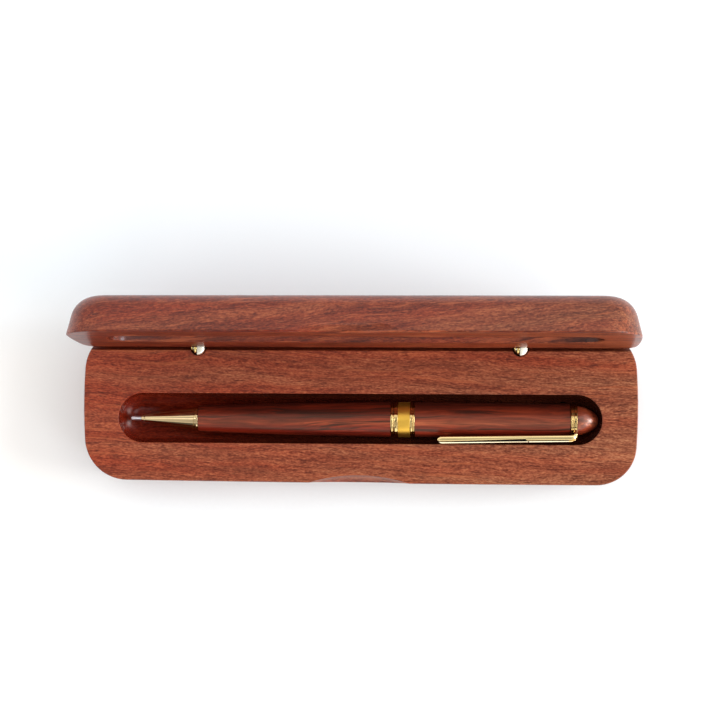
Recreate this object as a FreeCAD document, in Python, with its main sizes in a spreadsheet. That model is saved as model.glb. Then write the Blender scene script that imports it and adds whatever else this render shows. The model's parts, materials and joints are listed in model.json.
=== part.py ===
import FreeCAD, Part
import math
import os
import Sketcher

# Hardwood pen case, standing open with a twist ballpoint pen in its groove.
# Frame: millimetres, +Z up, X along the case, Y from front to back,
# origin at the centre of the underside of the base.

V = FreeCAD.Vector
doc = FreeCAD.newDocument("pen_case")
sheet = doc.addObject("Spreadsheet::Sheet", "dims")

# ---------------------------------------------------------------- dimensions
ROWS = [
    # case block and lid, seen from above
    ("case_half_length", 82.5), ("case_half_depth", 22.9), ("base_height", 17.0),
    ("lid_thickness", 11.4), ("closed_gap", 0.08),
    ("back_corner", 12.6), ("left_corner", 12.8), ("right_corner", 11.8),
    ("side_bow", 170.0), ("front_bow", 11900.0), ("front_bow_x", 50.0),
    ("edge_ease", 0.4), ("base_round", 5.0), ("lid_round", 7.4), ("lid_draft", 14.0),
    # pen groove in the base and recess in the lid, cut with a ball-nosed cutter
    ("groove_half", 72.0), ("groove_y", -3.65), ("groove_radius", 7.4),
    ("groove_depth", 10.0), ("recess_depth", 5.5), ("mouth_ease", 0.3),
    # finger notch, shared by base and lid
    ("notch_reach", 48.07), ("notch_sag", 2.5), ("base_notch_r", 8.0), ("lid_notch_r", 3.6),
    # hinge line, stop bevel and hinge holes
    ("hinge_y", 17.4), ("hinge_x", 48.0), ("base_bevel", 0.9), ("lid_bevel", 0.54), ("open_angle", 96.0),
    ("hinge_hole", 2.5), ("hinge_hole_depth", 7.25),
    # barrel hinge
    ("barrel_radius", 2.48), ("barrel_mouth", 3.1), ("barrel_bottom", 7.15),
    ("slot_half", 1.92), ("slot_half_depth", 1.45), ("slot_bottom", 6.3),
    ("thin_leaf", 0.36), ("thin_leaf_x", -1.86), ("lid_leaf", 0.9), ("lid_leaf_x", -1.2),
    ("thick_leaf", 2.04), ("thick_leaf_x", -0.24), ("leaf_round", 1.65), ("leaf_stem", 1.4), ("leaf_plan_r", 2.05),
    ("cross_depth", 4.75), ("pivot_radius", 0.6), ("cross_radius", 0.5),
    ("pivot_length", 3.6), ("pivot_x", -1.83), ("cross_length", 4.5),
    ("pin_fit", 0.01), ("pin_play", 0.05),
    # pen: place of its point and its axis
    ("pen_x", -69.0), ("pen_y", -3.95), ("pen_z", 12.46), ("clip_angle", 48.5),
    # pen stations, counted from the point
    ("cone_front", 3.25), ("cone_back", 20.1), ("cone_end", 20.7), ("barrel_front", 20.75),
    ("barrel_back", 78.45), ("band_front", 78.5), ("band_one", 80.7), ("band_two", 84.25),
    ("band_back", 85.65), ("upper_front", 85.7), ("upper_back", 131.7),
    ("trim_front", 131.75), ("trim_back", 132.75), ("clip_front", 132.8), ("clip_back", 133.7),
    ("finial_front", 133.75), ("finial_waist", 138.75), ("finial_end", 140.0),
    # pen radii
    ("cone_tip_r", 0.95), ("cone_rear_r", 3.62), ("cone_bead_r", 3.8),
    ("lower_small_r", 3.85), ("lower_mid_r", 4.48), ("lower_high_r", 4.94), ("lower_large_r", 5.18),
    ("band_ring_r", 5.26), ("band_sleeve_r", 5.26), ("band_crown", 3.0),
    ("upper_large_r", 5.2), ("upper_mid_r", 5.06), ("upper_small_r", 4.8),
    ("trim_r", 4.92), ("clip_ring_r", 4.86), ("trim_crown", 0.6),
    ("finial_r", 4.4), ("finial_waist_r", 2.45), ("finial_bow", 9.5),
    # liners, refill and twist works
    ("lower_liner_r", 3.35), ("lower_liner_bore", 3.05), ("upper_liner_r", 4.2), ("upper_liner_bore", 3.92),
    ("point_r", 0.62), ("point_shoulder_r", 1.15), ("ball_r", 0.35),
    ("refill_r", 1.5), ("refill_bore", 1.2), ("refill_front", 13.45), ("refill_back", 90.4),
    ("sleeve_r", 3.04), ("sleeve_bore", 2.3), ("sleeve_front", 70.0), ("sleeve_back", 106.0),
    ("cam_r", 3.9), ("cam_bore", 3.12), ("cam_front", 88.0), ("cam_back", 102.0),
    ("follower_r", 2.2), ("follower_pin_r", 0.6), ("follower_pin_x", 92.0), ("follower_reach", 3.8),
    ("travel", 5.0), ("lead_angle", 14.4), ("cam_slot", 1.6),
    ("stud_r", 2.0), ("stud_bore", 2.02),
    # clip
    ("clip_tip", 92.45), ("clip_flange_end", 119.4), ("clip_top", 8.1), ("clip_sheet", 0.6),
    ("clip_flange", 1.25), ("clip_width", 2.8), ("clip_corner", 1.3), ("clip_wall", 0.5),
    ("clip_end_round", 1.48), ("clip_foot_x", 95.2), ("clip_foot_r", 0.9), ("clip_foot_gap", 5.25),
]


class Dim:
    """A number together with the sheet expression that gives it."""

    def __init__(self, value, text):
        self.value = float(value)
        self.text = text

    def __add__(self, other):
        other = dim(other)
        return Dim(self.value + other.value, "(%s + %s)" % (self.text, other.text))

    def __sub__(self, other):
        other = dim(other)
        return Dim(self.value - other.value, "(%s - %s)" % (self.text, other.text))

    def __mul__(self, other):
        other = dim(other)
        return Dim(self.value * other.value, "(%s * %s)" % (self.text, other.text))

    def __truediv__(self, other):
        other = dim(other)
        return Dim(self.value / other.value, "(%s / %s)" % (self.text, other.text))

    def __neg__(self):
        return Dim(-self.value, "(0 - %s)" % self.text)


def dim(number):
    return number if isinstance(number, Dim) else Dim(number, repr(float(number)))


class Sheet:
    pass


d = Sheet()
for row, (alias, value) in enumerate(ROWS, start=1):
    sheet.set("A%d" % row, alias)
    sheet.set("B%d" % row, repr(value))
    sheet.setAlias("B%d" % row, alias)
    setattr(d, alias, Dim(value, "dims.%s" % alias))
doc.recompute()

PIECES = []


# ------------------------------------------------------------------- helpers
def bind(obj, prop, number):
    obj.setExpression(prop, dim(number).text)


def new_body(label):
    body = doc.addObject("PartDesign::Body", label)
    body.Label = label
    PIECES.append(body)
    return body


def origin_plane(body, role):
    return [o for o in body.Origin.OriginFeatures if o.Role == role][0]


def new_sketch(body, name, role, offset=None):
    sk = body.newObject("Sketcher::SketchObject", name)
    sk.AttachmentSupport = [(origin_plane(body, role), "")]
    sk.MapMode = "FlatFace"
    if offset:
        for axis, number in zip("xyz", offset):
            if number is not None:
                bind(sk, "AttachmentOffset.Base.%s" % axis, number)
    return sk


def datum(sk, kind, args, number):
    """Adds one driving dimension to a sketch and ties it to the sheet."""
    number = dim(number)
    index = sk.addConstraint(Sketcher.Constraint(kind, *args, number.value))
    bind(sk, "Constraints[%d]" % index, number)


def fix_point(sk, geo, pos, x, y):
    """Places one sketch point at x, y from the sketch origin."""
    x, y = dim(x), dim(y)
    if x.value == 0.0:
        sk.addConstraint(Sketcher.Constraint("PointOnObject", geo, pos, -2))
    else:
        datum(sk, "DistanceX", (-1, 1, geo, pos), x)
    if y.value == 0.0:
        sk.addConstraint(Sketcher.Constraint("PointOnObject", geo, pos, -1))
    else:
        datum(sk, "DistanceY", (-1, 1, geo, pos), y)


def ends(sk, geo, start):
    """Positions of a curve's own start and end, whichever way round it is stored."""
    near = sk.getPoint(geo, 1)
    return (1, 2) if near.distanceToPoint(start) < 1e-6 else (2, 1)


def profile(sk, points):
    """Closed outline. Each point is (x, y), or (x, y, radius) where an arc of that
    radius runs on to the next point, bulging to the left of the way there."""
    rows = [(dim(p[0]), dim(p[1]), dim(p[2]) if len(p) > 2 else None) for p in points]
    spans = []
    for i, (x, y, radius) in enumerate(rows):
        nx, ny, _ = rows[(i + 1) % len(rows)]
        a, b = V(x.value, y.value, 0), V(nx.value, ny.value, 0)
        if radius is None:
            geo = sk.addGeometry(Part.LineSegment(a, b), False)
        else:
            chord = b - a
            half = chord.Length / 2.0
            sag = radius.value - math.sqrt(radius.value ** 2 - half ** 2)
            left = V(-chord.y, chord.x, 0).normalize()
            mid = (a + b) * 0.5 + left * sag
            geo = sk.addGeometry(Part.ArcOfCircle(a, mid, b), False)
        spans.append((geo,) + ends(sk, geo, a))
    for i, (geo, first, last) in enumerate(spans):
        ngeo, nfirst, _ = spans[(i + 1) % len(spans)]
        sk.addConstraint(Sketcher.Constraint("Coincident", geo, last, ngeo, nfirst))
    for (geo, first, last), (x, y, radius) in zip(spans, rows):
        fix_point(sk, geo, first, x, y)
        if radius is not None:
            datum(sk, "Radius", (geo,), radius)
    return spans


def circle(sk, x, y, radius):
    x, y, radius = dim(x), dim(y), dim(radius)
    geo = sk.addGeometry(Part.Circle(V(x.value, y.value, 0), V(0, 0, 1), radius.value), False)
    fix_point(sk, geo, 3, x, y)
    datum(sk, "Radius", (geo,), radius)


def feature(body, kind, name, sk):
    f = body.newObject("PartDesign::" + kind, name)
    f.Profile = sk
    return f


def volume_of(body):
    doc.recompute()
    return body.Shape.Volume


def cut(body, kind, name, sk, setup):
    """A cut that must really take material away."""
    before = volume_of(body)
    f = feature(body, kind, name, sk)
    setup(f)
    after = volume_of(body)
    if not after < before - 1e-4:
        raise RuntimeError("%s of %s cut nothing" % (name, body.Label))
    return f


def turned(label, points):
    """A piece turned about the pen's axis; stations run from the point."""
    body = new_body(label)
    sk = new_sketch(body, label + "_section", "XY_Plane")
    profile(sk, points)
    doc.recompute()
    rev = feature(body, "Revolution", label + "_turning", sk)
    rev.ReferenceAxis = (sk, ["H_Axis"])
    rev.Angle = 360
    return body


def on_pen(obj, angle=None):
    """Sets a pen piece on the pen's axis, turned about it by the angle."""
    if angle is not None:
        obj.Placement = FreeCAD.Placement(V(0, 0, 0), FreeCAD.Rotation(V(1, 0, 0), dim(angle).value))
        bind(obj, "Placement.Rotation.Angle", angle)
    bind(obj, "Placement.Base.x", d.pen_x)
    bind(obj, "Placement.Base.y", d.pen_y)
    bind(obj, "Placement.Base.z", d.pen_z)
    return obj


def edges_where(shape, test):
    return ["Edge%d" % (i + 1) for i, e in enumerate(shape.Edges) if test(e)]


def plan_outline(sk):
    """Plan of the case: straight back, gently bowed ends and front, round corners.
    The front's bow is a little off centre, so its two corners differ."""
    hx, hy = d.case_half_length, d.case_half_depth
    side_r, bow_r = d.side_bow, d.front_bow
    sx = hx - side_r                      # centre of the right end's bow, at y = 0
    fx, fy = d.front_bow_x, bow_r - hy    # centre of the front's bow

    def toward(cx, cy, tx, ty, r):
        length = math.hypot(tx - cx, ty - cy)
        return V(cx + (tx - cx) / length * r, cy + (ty - cy) / length * r, 0)

    def half_plan(sign, front_r):
        """Centres and tangent points of one end; sign is +1 on the right."""
        px, py = sign * sx.value, 0.0
        qx, qy = fx.value, fy.value
        ra, rb = side_r.value - front_r.value, bow_r.value - front_r.value
        dist = math.hypot(qx - px, qy - py)
        along = (ra ** 2 - rb ** 2 + dist ** 2) / (2 * dist)
        off = math.sqrt(ra ** 2 - along ** 2)
        ux, uy = (qx - px) / dist, (qy - py) / dist
        options = [(px + along * ux - off * uy, py + along * uy + off * ux),
                   (px + along * ux + off * uy, py + along * uy - off * ux)]
        cf = max(options, key=lambda c: sign * c[0])
        br = d.back_corner.value
        cby = hy.value - br
        cb = (px + sign * math.sqrt((side_r.value - br) ** 2 - cby ** 2), cby)
        return {"px": px, "cf": cf, "cb": cb,
                "back": V(cb[0], hy.value, 0),
                "back_side": toward(px, py, cb[0], cb[1], side_r.value),
                "side_front": toward(px, py, cf[0], cf[1], side_r.value),
                "front": toward(qx, qy, cf[0], cf[1], bow_r.value)}

    right, left = half_plan(1.0, d.right_corner), half_plan(-1.0, d.left_corner)

    def arc(a, b, cx, cy, r):
        mx, my = (a.x + b.x) / 2 - cx, (a.y + b.y) / 2 - cy
        length = math.hypot(mx, my)
        return Part.ArcOfCircle(a, V(cx + mx / length * r, cy + my / length * r, 0), b)

    br = d.back_corner
    chain = [
        (Part.LineSegment(left["back"], right["back"]), left["back"], None),
        (arc(right["back"], right["back_side"], right["cb"][0], right["cb"][1], br.value), right["back"], br),
        (arc(right["back_side"], right["side_front"], right["px"], 0.0, side_r.value), right["back_side"], side_r),
        (arc(right["side_front"], right["front"], right["cf"][0], right["cf"][1], d.right_corner.value),
         right["side_front"], d.right_corner),
        (arc(right["front"], left["front"], fx.value, fy.value, bow_r.value), right["front"], bow_r),
        (arc(left["front"], left["side_front"], left["cf"][0], left["cf"][1], d.left_corner.value),
         left["front"], d.left_corner),
        (arc(left["side_front"], left["back_side"], left["px"], 0.0, side_r.value), left["side_front"], side_r),
        (arc(left["back_side"], left["back"], left["cb"][0], left["cb"][1], br.value), left["back_side"], br),
    ]
    spans = []
    for curve, start, radius in chain:
        geo = sk.addGeometry(curve, False)
        spans.append((geo,) + ends(sk, geo, start))
    for i, (geo, first, last) in enumerate(spans):
        ngeo, nfirst, _ = spans[(i + 1) % len(spans)]
        sk.addConstraint(Sketcher.Constraint("Tangent", geo, last, ngeo, nfirst))
    sk.addConstraint(Sketcher.Constraint("Horizontal", spans[0][0]))
    datum(sk, "DistanceY", (-1, 1, spans[0][0], spans[0][1]), hy)
    for i in (1, 2, 3, 4, 5, 6, 7):
        datum(sk, "Radius", (spans[i][0],), chain[i][2])
    fix_point(sk, spans[2][0], 3, sx, 0)
    fix_point(sk, spans[6][0], 3, -sx, 0)
    fix_point(sk, spans[4][0], 3, fx, fy)


# ------------------------------------------------------------------ case base
def ball_trough(body, name, centre_y, centre_z):
    """Capsule-shaped cut, as a ball-nosed cutter leaves it: half of the capsule's
    section, turned about its own length."""
    sk = new_sketch(body, name + "_section", "XY_Plane", (None, centre_y, centre_z))
    r, flat = d.groove_radius, d.groove_half - d.groove_radius
    a, h, k = flat.value, d.groove_half.value, math.sqrt(0.5) * r.value
    arc1 = sk.addGeometry(Part.ArcOfCircle(V(-h, 0, 0), V(-a - k, k, 0), V(-a, r.value, 0)), False)
    line = sk.addGeometry(Part.LineSegment(V(-a, r.value, 0), V(a, r.value, 0)), False)
    arc2 = sk.addGeometry(Part.ArcOfCircle(V(a, r.value, 0), V(a + k, k, 0), V(h, 0, 0)), False)
    axis = sk.addGeometry(Part.LineSegment(V(h, 0, 0), V(-h, 0, 0)), False)
    s1, s2 = ends(sk, arc1, V(-h, 0, 0)), ends(sk, arc2, V(a, r.value, 0))
    add = sk.addConstraint
    add(Sketcher.Constraint("Coincident", arc1, s1[1], line, 1))
    add(Sketcher.Constraint("Coincident", line, 2, arc2, s2[0]))
    add(Sketcher.Constraint("Coincident", arc2, s2[1], axis, 1))
    add(Sketcher.Constraint("Coincident", axis, 2, arc1, s1[0]))
    fix_point(sk, arc1, 3, -flat, 0)
    fix_point(sk, arc2, 3, flat, 0)
    datum(sk, "Radius", (arc1,), r)
    datum(sk, "Radius", (arc2,), r)
    add(Sketcher.Constraint("PointOnObject", axis, 1, -1))
    add(Sketcher.Constraint("PointOnObject", axis, 2, -1))
    datum(sk, "DistanceX", (-1, 1, line, 1), -flat)
    datum(sk, "DistanceX", (-1, 1, line, 2), flat)

    def setup(f):
        f.ReferenceAxis = (sk, ["H_Axis"])
        f.Angle = 360
    return cut(body, "Groove", name, sk, setup)


def slot_outline(sk, radius):
    """Straight slot with round ends."""
    flat = d.groove_half - d.groove_radius
    a, r = flat.value, radius.value
    top = sk.addGeometry(Part.LineSegment(V(-a, r, 0), V(a, r, 0)), False)
    right = sk.addGeometry(Part.ArcOfCircle(V(a, r, 0), V(a + r, 0, 0), V(a, -r, 0)), False)
    low = sk.addGeometry(Part.LineSegment(V(a, -r, 0), V(-a, -r, 0)), False)
    left = sk.addGeometry(Part.ArcOfCircle(V(-a, -r, 0), V(-a - r, 0, 0), V(-a, r, 0)), False)
    e_right, e_left = ends(sk, right, V(a, r, 0)), ends(sk, left, V(-a, -r, 0))
    add = sk.addConstraint
    add(Sketcher.Constraint("Coincident", top, 2, right, e_right[0]))
    add(Sketcher.Constraint("Coincident", right, e_right[1], low, 1))
    add(Sketcher.Constraint("Coincident", low, 2, left, e_left[0]))
    add(Sketcher.Constraint("Coincident", left, e_left[1], top, 1))
    fix_point(sk, right, 3, flat, 0)
    fix_point(sk, left, 3, -flat, 0)
    datum(sk, "Radius", (right,), radius)
    datum(sk, "Radius", (left,), radius)
    datum(sk, "DistanceX", (-1, 1, top, 1), -flat)
    datum(sk, "DistanceX", (-1, 1, top, 2), flat)
    datum(sk, "DistanceX", (-1, 1, low, 1), flat)
    datum(sk, "DistanceX", (-1, 1, low, 2), -flat)


def notch(body, name, parting_z):
    """Finger notch: a ring-shaped cutter that dips into the front edge."""
    centre_y = (d.notch_sag - d.case_half_depth) - d.notch_reach
    sk = new_sketch(body, name + "_section", "YZ_Plane", (centre_y, parting_z, None))
    circle(sk, d.notch_reach - d.base_notch_r, 0, d.base_notch_r)

    def setup(f):
        f.ReferenceAxis = (sk, ["V_Axis"])
        f.Angle = 360
    return cut(body, "Groove", name, sk, setup)


def through_x(f):
    """A pocket right through along X, both ways."""
    f.Type = 1
    f.Midplane = True


base = new_body("case_base")
sk = new_sketch(base, "base_plan", "XY_Plane")
plan_outline(sk)
doc.recompute()
pad = feature(base, "Pad", "base_block", sk)
bind(pad, "Length", d.base_height)
doc.recompute()
top_z = d.base_height.value
low_edges = edges_where(pad.Shape, lambda e: e.BoundBox.ZMax < 1e-6)
f = base.newObject("PartDesign::Fillet", "base_underside_round")
f.Base = (pad, low_edges)
bind(f, "Radius", d.base_round)
doc.recompute()
rim = edges_where(f.Shape, lambda e: e.BoundBox.ZMin > top_z - 1e-6)
ease = base.newObject("PartDesign::Fillet", "base_rim_ease")
ease.Base = (f, rim)
bind(ease, "Radius", d.edge_ease)
doc.recompute()

ball_z = (d.base_height - d.groove_depth) + d.groove_radius
ball_trough(base, "pen_groove", d.groove_y, ball_z)
sk = new_sketch(base, "groove_mouth", "XY_Plane", (None, d.groove_y, d.base_height))
slot_outline(sk, d.groove_radius)
walls = cut(base, "Pocket", "groove_walls", sk, lambda p: bind(p, "Length", d.groove_depth - d.groove_radius))


def ease_mouth(body, name, last, plane_z, centre_y):
    """Breaks the sharp edge where a trough runs out into the flat face."""
    def at_mouth(e):
        bb = e.BoundBox
        return (abs(bb.ZMin - plane_z) < 1e-5 and abs(bb.ZMax - plane_z) < 1e-5
                and abs(bb.YMin - centre_y) < d.groove_radius.value + 0.01
                and abs(bb.YMax - centre_y) < d.groove_radius.value + 0.01
                and bb.XMax < d.groove_half.value + 0.01 and bb.XMin > -d.groove_half.value - 0.01)
    names = edges_where(last.Shape, at_mouth)
    if len(names) < 4:
        raise RuntimeError("%s found %d edges" % (name, len(names)))
    f = body.newObject("PartDesign::Fillet", name)
    f.Base = (last, names)
    bind(f, "Radius", d.mouth_ease)
    doc.recompute()


ease_mouth(base, "groove_mouth_ease", walls, d.base_height.value, d.groove_y.value)

# bevel at the back, where the lid comes to its stop
sk = new_sketch(base, "base_bevel_section", "YZ_Plane")
bevel_y = d.hinge_y - d.base_bevel
run = d.case_half_depth - bevel_y + 2.0
profile(sk, [(bevel_y, d.base_height), (bevel_y + run, d.base_height - run),
             (bevel_y + run, d.base_height + 2.0), (bevel_y, d.base_height + 2.0)])
cut(base, "Pocket", "base_bevel", sk, through_x)

sk = new_sketch(base, "base_hinge_holes", "XY_Plane", (None, None, d.base_height))
circle(sk, d.hinge_x, d.hinge_y, d.hinge_hole)
circle(sk, -d.hinge_x, d.hinge_y, d.hinge_hole)
cut(base, "Pocket", "base_hinge_bores", sk, lambda p: bind(p, "Length", d.hinge_hole_depth))

notch(base, "base_notch", d.base_height)

# ------------------------------------------------------------------- case lid
# Drawn closed, with its own origin on the hinge line, then swung open.
lid = new_body("case_lid")
sk = new_sketch(lid, "lid_plan", "XY_Plane", (None, -d.hinge_y, d.closed_gap))
plan_outline(sk)
doc.recompute()
block = feature(lid, "Pad", "lid_block", sk)
bind(block, "Length", d.lid_thickness - d.closed_gap)
bind(block, "TaperAngle", -d.lid_draft)
doc.recompute()
crown_edges = edges_where(block.Shape, lambda e: e.BoundBox.ZMin > d.lid_thickness.value - 1e-4)
f = lid.newObject("PartDesign::Fillet", "lid_crown_round")
f.Base = (block, crown_edges)
bind(f, "Radius", d.lid_round)
doc.recompute()
rim = edges_where(f.Shape, lambda e: e.BoundBox.ZMax < d.closed_gap.value + 1e-4)
ease = lid.newObject("PartDesign::Fillet", "lid_rim_ease")
ease.Base = (f, rim)
bind(ease, "Radius", d.edge_ease)
doc.recompute()

# recess over the pen
trough = ball_trough(lid, "lid_recess", d.groove_y - d.hinge_y, (d.closed_gap + d.recess_depth) - d.groove_radius)
ease_mouth(lid, "recess_mouth_ease", trough, d.closed_gap.value, (d.groove_y - d.hinge_y).value)

sk = new_sketch(lid, "lid_bevel_section", "YZ_Plane")
run = (d.case_half_depth - d.hinge_y) + d.lid_bevel + 2.0
start = -d.lid_bevel
profile(sk, [(start, d.closed_gap), (start, d.closed_gap - 2.0),
             (start + run, d.closed_gap - 2.0), (start + run, d.closed_gap + run)])
cut(lid, "Pocket", "lid_bevel", sk, through_x)

sk = new_sketch(lid, "lid_hinge_holes", "XY_Plane")
circle(sk, d.hinge_x, 0, d.hinge_hole)
circle(sk, -d.hinge_x, 0, d.hinge_hole)


def upward(p):
    p.Reversed = True
    bind(p, "Length", d.hinge_hole_depth)


cut(lid, "Pocket", "lid_hinge_bores", sk, upward)

centre_y = (d.notch_sag - d.case_half_depth) - d.notch_reach - d.hinge_y
sk = new_sketch(lid, "lid_notch_section", "YZ_Plane", (centre_y, d.closed_gap, None))
circle(sk, d.notch_reach - d.lid_notch_r, 0, d.lid_notch_r)


def ring_cut(f):
    f.ReferenceAxis = (sk, ["V_Axis"])
    f.Angle = 360


cut(lid, "Groove", "lid_notch", sk, ring_cut)


def on_lid(obj, turn, x=None):
    """Hangs a piece on the hinge line, swung about it by the turn."""
    obj.Placement = FreeCAD.Placement(V(0, 0, 0), FreeCAD.Rotation(V(1, 0, 0), dim(turn).value))
    bind(obj, "Placement.Rotation.Angle", turn)
    bind(obj, "Placement.Base.y", d.hinge_y)
    bind(obj, "Placement.Base.z", d.base_height)
    if x is not None:
        bind(obj, "Placement.Base.x", x)


lid.Placement = FreeCAD.Placement(V(0, 0, 0), FreeCAD.Rotation(V(-1, 0, 0), d.open_angle.value))
bind(lid, "Placement.Rotation.Angle", d.open_angle)
bind(lid, "Placement.Base.y", d.hinge_y)
bind(lid, "Placement.Base.z", d.base_height)


# -------------------------------------------------------------- barrel hinges
# Each half is drawn the same way, reaching down from the hinge line. The lid's
# half is the same half turned over and swung with the lid.
def hinge_barrel(label):
    body = new_body(label)
    sk = new_sketch(body, label + "_round", "XY_Plane", (None, None, -d.barrel_bottom))
    circle(sk, 0, 0, d.barrel_radius)
    doc.recompute()
    pad = feature(body, "Pad", label + "_rod", sk)
    bind(pad, "Length", d.barrel_bottom - d.barrel_mouth)
    doc.recompute()
    sk = new_sketch(body, label + "_slot_plan", "XY_Plane", (None, None, -d.barrel_mouth))
    profile(sk, [(-d.slot_half, -d.slot_half_depth), (d.slot_half, -d.slot_half_depth),
                 (d.slot_half, d.slot_half_depth), (-d.slot_half, d.slot_half_depth)])
    cut(body, "Pocket", label + "_slot", sk, lambda p: bind(p, "Length", d.slot_bottom - d.barrel_mouth))
    sk = new_sketch(body, label + "_cross", "YZ_Plane")
    circle(sk, 0, -d.cross_depth, d.cross_radius + d.pin_fit)
    cut(body, "Pocket", label + "_cross_hole", sk, through_x)
    return body


def leaf_side(sk, play):
    """Side view of a leaf: a round knuckle on a stem with a round foot, and the
    holes for the pivot pin and the cross pin."""
    half, knuckle = d.leaf_stem, d.leaf_round
    drop = -math.sqrt(knuckle.value ** 2 - half.value ** 2)
    w, c = half.value, d.cross_depth.value
    top = sk.addGeometry(Part.ArcOfCircle(V(w, drop, 0), V(0, knuckle.value, 0), V(-w, drop, 0)), False)
    left = sk.addGeometry(Part.LineSegment(V(-w, drop, 0), V(-w, -c, 0)), False)
    foot = sk.addGeometry(Part.ArcOfCircle(V(-w, -c, 0), V(0, -c - w, 0), V(w, -c, 0)), False)
    right = sk.addGeometry(Part.LineSegment(V(w, -c, 0), V(w, drop, 0)), False)
    e_top, e_foot = ends(sk, top, V(w, drop, 0)), ends(sk, foot, V(-w, -c, 0))
    add = sk.addConstraint
    add(Sketcher.Constraint("Coincident", top, e_top[1], left, 1))
    add(Sketcher.Constraint("Coincident", left, 2, foot, e_foot[0]))
    add(Sketcher.Constraint("Coincident", foot, e_foot[1], right, 1))
    add(Sketcher.Constraint("Coincident", right, 2, top, e_top[0]))
    add(Sketcher.Constraint("Coincident", top, 3, -1, 1))
    datum(sk, "Radius", (top,), knuckle)
    fix_point(sk, foot, 3, 0, -d.cross_depth)
    datum(sk, "Radius", (foot,), half)
    datum(sk, "DistanceY", (-1, 1, left, 2), -d.cross_depth)
    datum(sk, "DistanceY", (-1, 1, right, 1), -d.cross_depth)
    add(Sketcher.Constraint("Vertical", left))
    add(Sketcher.Constraint("Vertical", right))
    circle(sk, 0, 0, d.pivot_radius + play)
    circle(sk, 0, -d.cross_depth, d.cross_radius + d.pin_fit)


def hinge_leaves(label, rows, play, turned_plan):
    """Leaves side by side on the pin, each from its own place along X and of its
    own width. The outer ones are turned to a round plan above the barrel."""
    body = new_body(label)
    body.AllowCompound = True
    for number, (start, width) in enumerate(rows, start=1):
        sk = new_sketch(body, "%s_side_%d" % (label, number), "YZ_Plane", (None, None, start))
        leaf_side(sk, play)
        doc.recompute()
        pad = feature(body, "Pad", "%s_leaf_%d" % (label, number), sk)
        bind(pad, "Length", width)
        doc.recompute()
    if not turned_plan:
        return body
    sk = new_sketch(body, label + "_plan", "XY_Plane", (None, None, d.leaf_round + 0.2))
    reach = d.barrel_radius + 0.5
    profile(sk, [(-reach, -reach), (reach, -reach), (reach, reach), (-reach, reach)])
    circle(sk, 0, 0, d.leaf_plan_r)
    cut(body, "Pocket", label + "_turned", sk,
        lambda p: bind(p, "Length", d.leaf_round + 0.2 + d.barrel_mouth - 0.1))
    return body


def rod(label, radius, length, depth):
    """A plain pin that lies along X, at the depth below the hinge line."""
    pin = doc.addObject("Part::Cylinder", label)
    pin.Label = label
    PIECES.append(pin)
    bind(pin, "Radius", radius)
    bind(pin, "Height", length)
    return pin


for side, hx in (("left", -d.hinge_x), ("right", d.hinge_x)):
    over = dim(180.0) - d.open_angle          # the lid's half, turned over and swung
    body = hinge_barrel(side + "_hinge_base_barrel")
    on_lid(body, 0.0, hx)
    body = hinge_barrel(side + "_hinge_lid_barrel")
    on_lid(body, over, hx)
    # along the pin: a thin and a thick leaf of the base, with the lid's leaf between
    body = hinge_leaves(side + "_hinge_base_leaves",
                        [(d.thin_leaf_x, d.thin_leaf), (d.thick_leaf_x, d.thick_leaf)], d.pin_fit, True)
    on_lid(body, 0.0, hx)
    body = hinge_leaves(side + "_hinge_lid_leaf", [(d.lid_leaf_x, d.lid_leaf)], d.pin_play, False)
    on_lid(body, over, hx)
    # pins: a cylinder's own axis is Z, so it is laid down along X
    lay = FreeCAD.Rotation(V(0, 1, 0), 90)
    pin = rod(side + "_hinge_pivot_pin", d.pivot_radius, d.pivot_length, 0.0)
    pin.Placement = FreeCAD.Placement(V(0, 0, 0), lay)
    bind(pin, "Placement.Base.x", hx + d.pivot_x)
    bind(pin, "Placement.Base.y", d.hinge_y)
    bind(pin, "Placement.Base.z", d.base_height)
    pin = rod(side + "_hinge_base_cross_pin", d.cross_radius, d.cross_length, d.cross_depth)
    pin.Placement = FreeCAD.Placement(V(0, 0, 0), lay)
    bind(pin, "Placement.Base.x", hx - d.cross_length / 2.0)
    bind(pin, "Placement.Base.y", d.hinge_y)
    bind(pin, "Placement.Base.z", d.base_height - d.cross_depth)
    pin = rod(side + "_hinge_lid_cross_pin", d.cross_radius, d.cross_length, d.cross_depth)
    pin.Placement = FreeCAD.Placement(V(0, 0, 0), lay)
    bind(pin, "Placement.Base.x", hx - d.cross_length / 2.0)
    pin.setExpression("Placement.Base.y", "dims.hinge_y + dims.cross_depth * sin(dims.open_angle * 1deg)")
    pin.setExpression("Placement.Base.z", "dims.base_height + dims.cross_depth * cos(dims.open_angle * 1deg)")

# ------------------------------------------------------------------ the refill
on_pen(turned("refill_tip", [
    (0.3, d.ball_r + 0.005), (0.3, d.ball_r + 0.08), (3.0, d.point_r), (9.3, d.point_r),
    (9.3, d.point_shoulder_r), (d.refill_front - 0.05, d.point_shoulder_r),
    (d.refill_front - 0.05, d.refill_bore - 0.01), (17.0, d.refill_bore - 0.01),
    (17.0, 0.3), (0.74, 0.3), (0.74, d.ball_r + 0.005)]))

ball = doc.addObject("Part::Sphere", "refill_ball")
ball.Label = "refill_ball"
PIECES.append(ball)
bind(ball, "Radius", d.ball_r)
bind(ball, "Placement.Base.x", d.pen_x + d.ball_r + 0.02)
bind(ball, "Placement.Base.y", d.pen_y)
bind(ball, "Placement.Base.z", d.pen_z)

on_pen(turned("refill_tube", [
    (d.refill_front, d.refill_bore), (d.refill_front, d.refill_r),
    (d.refill_back, d.refill_r), (d.refill_back, d.refill_bore)]))
on_pen(turned("refill_plug", [
    (d.refill_back - 4.0, 0.0), (d.refill_back - 4.0, d.refill_bore - 0.01),
    (d.refill_back - 0.1, d.refill_bore - 0.01), (d.refill_back - 0.1, 0.0)]))

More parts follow.
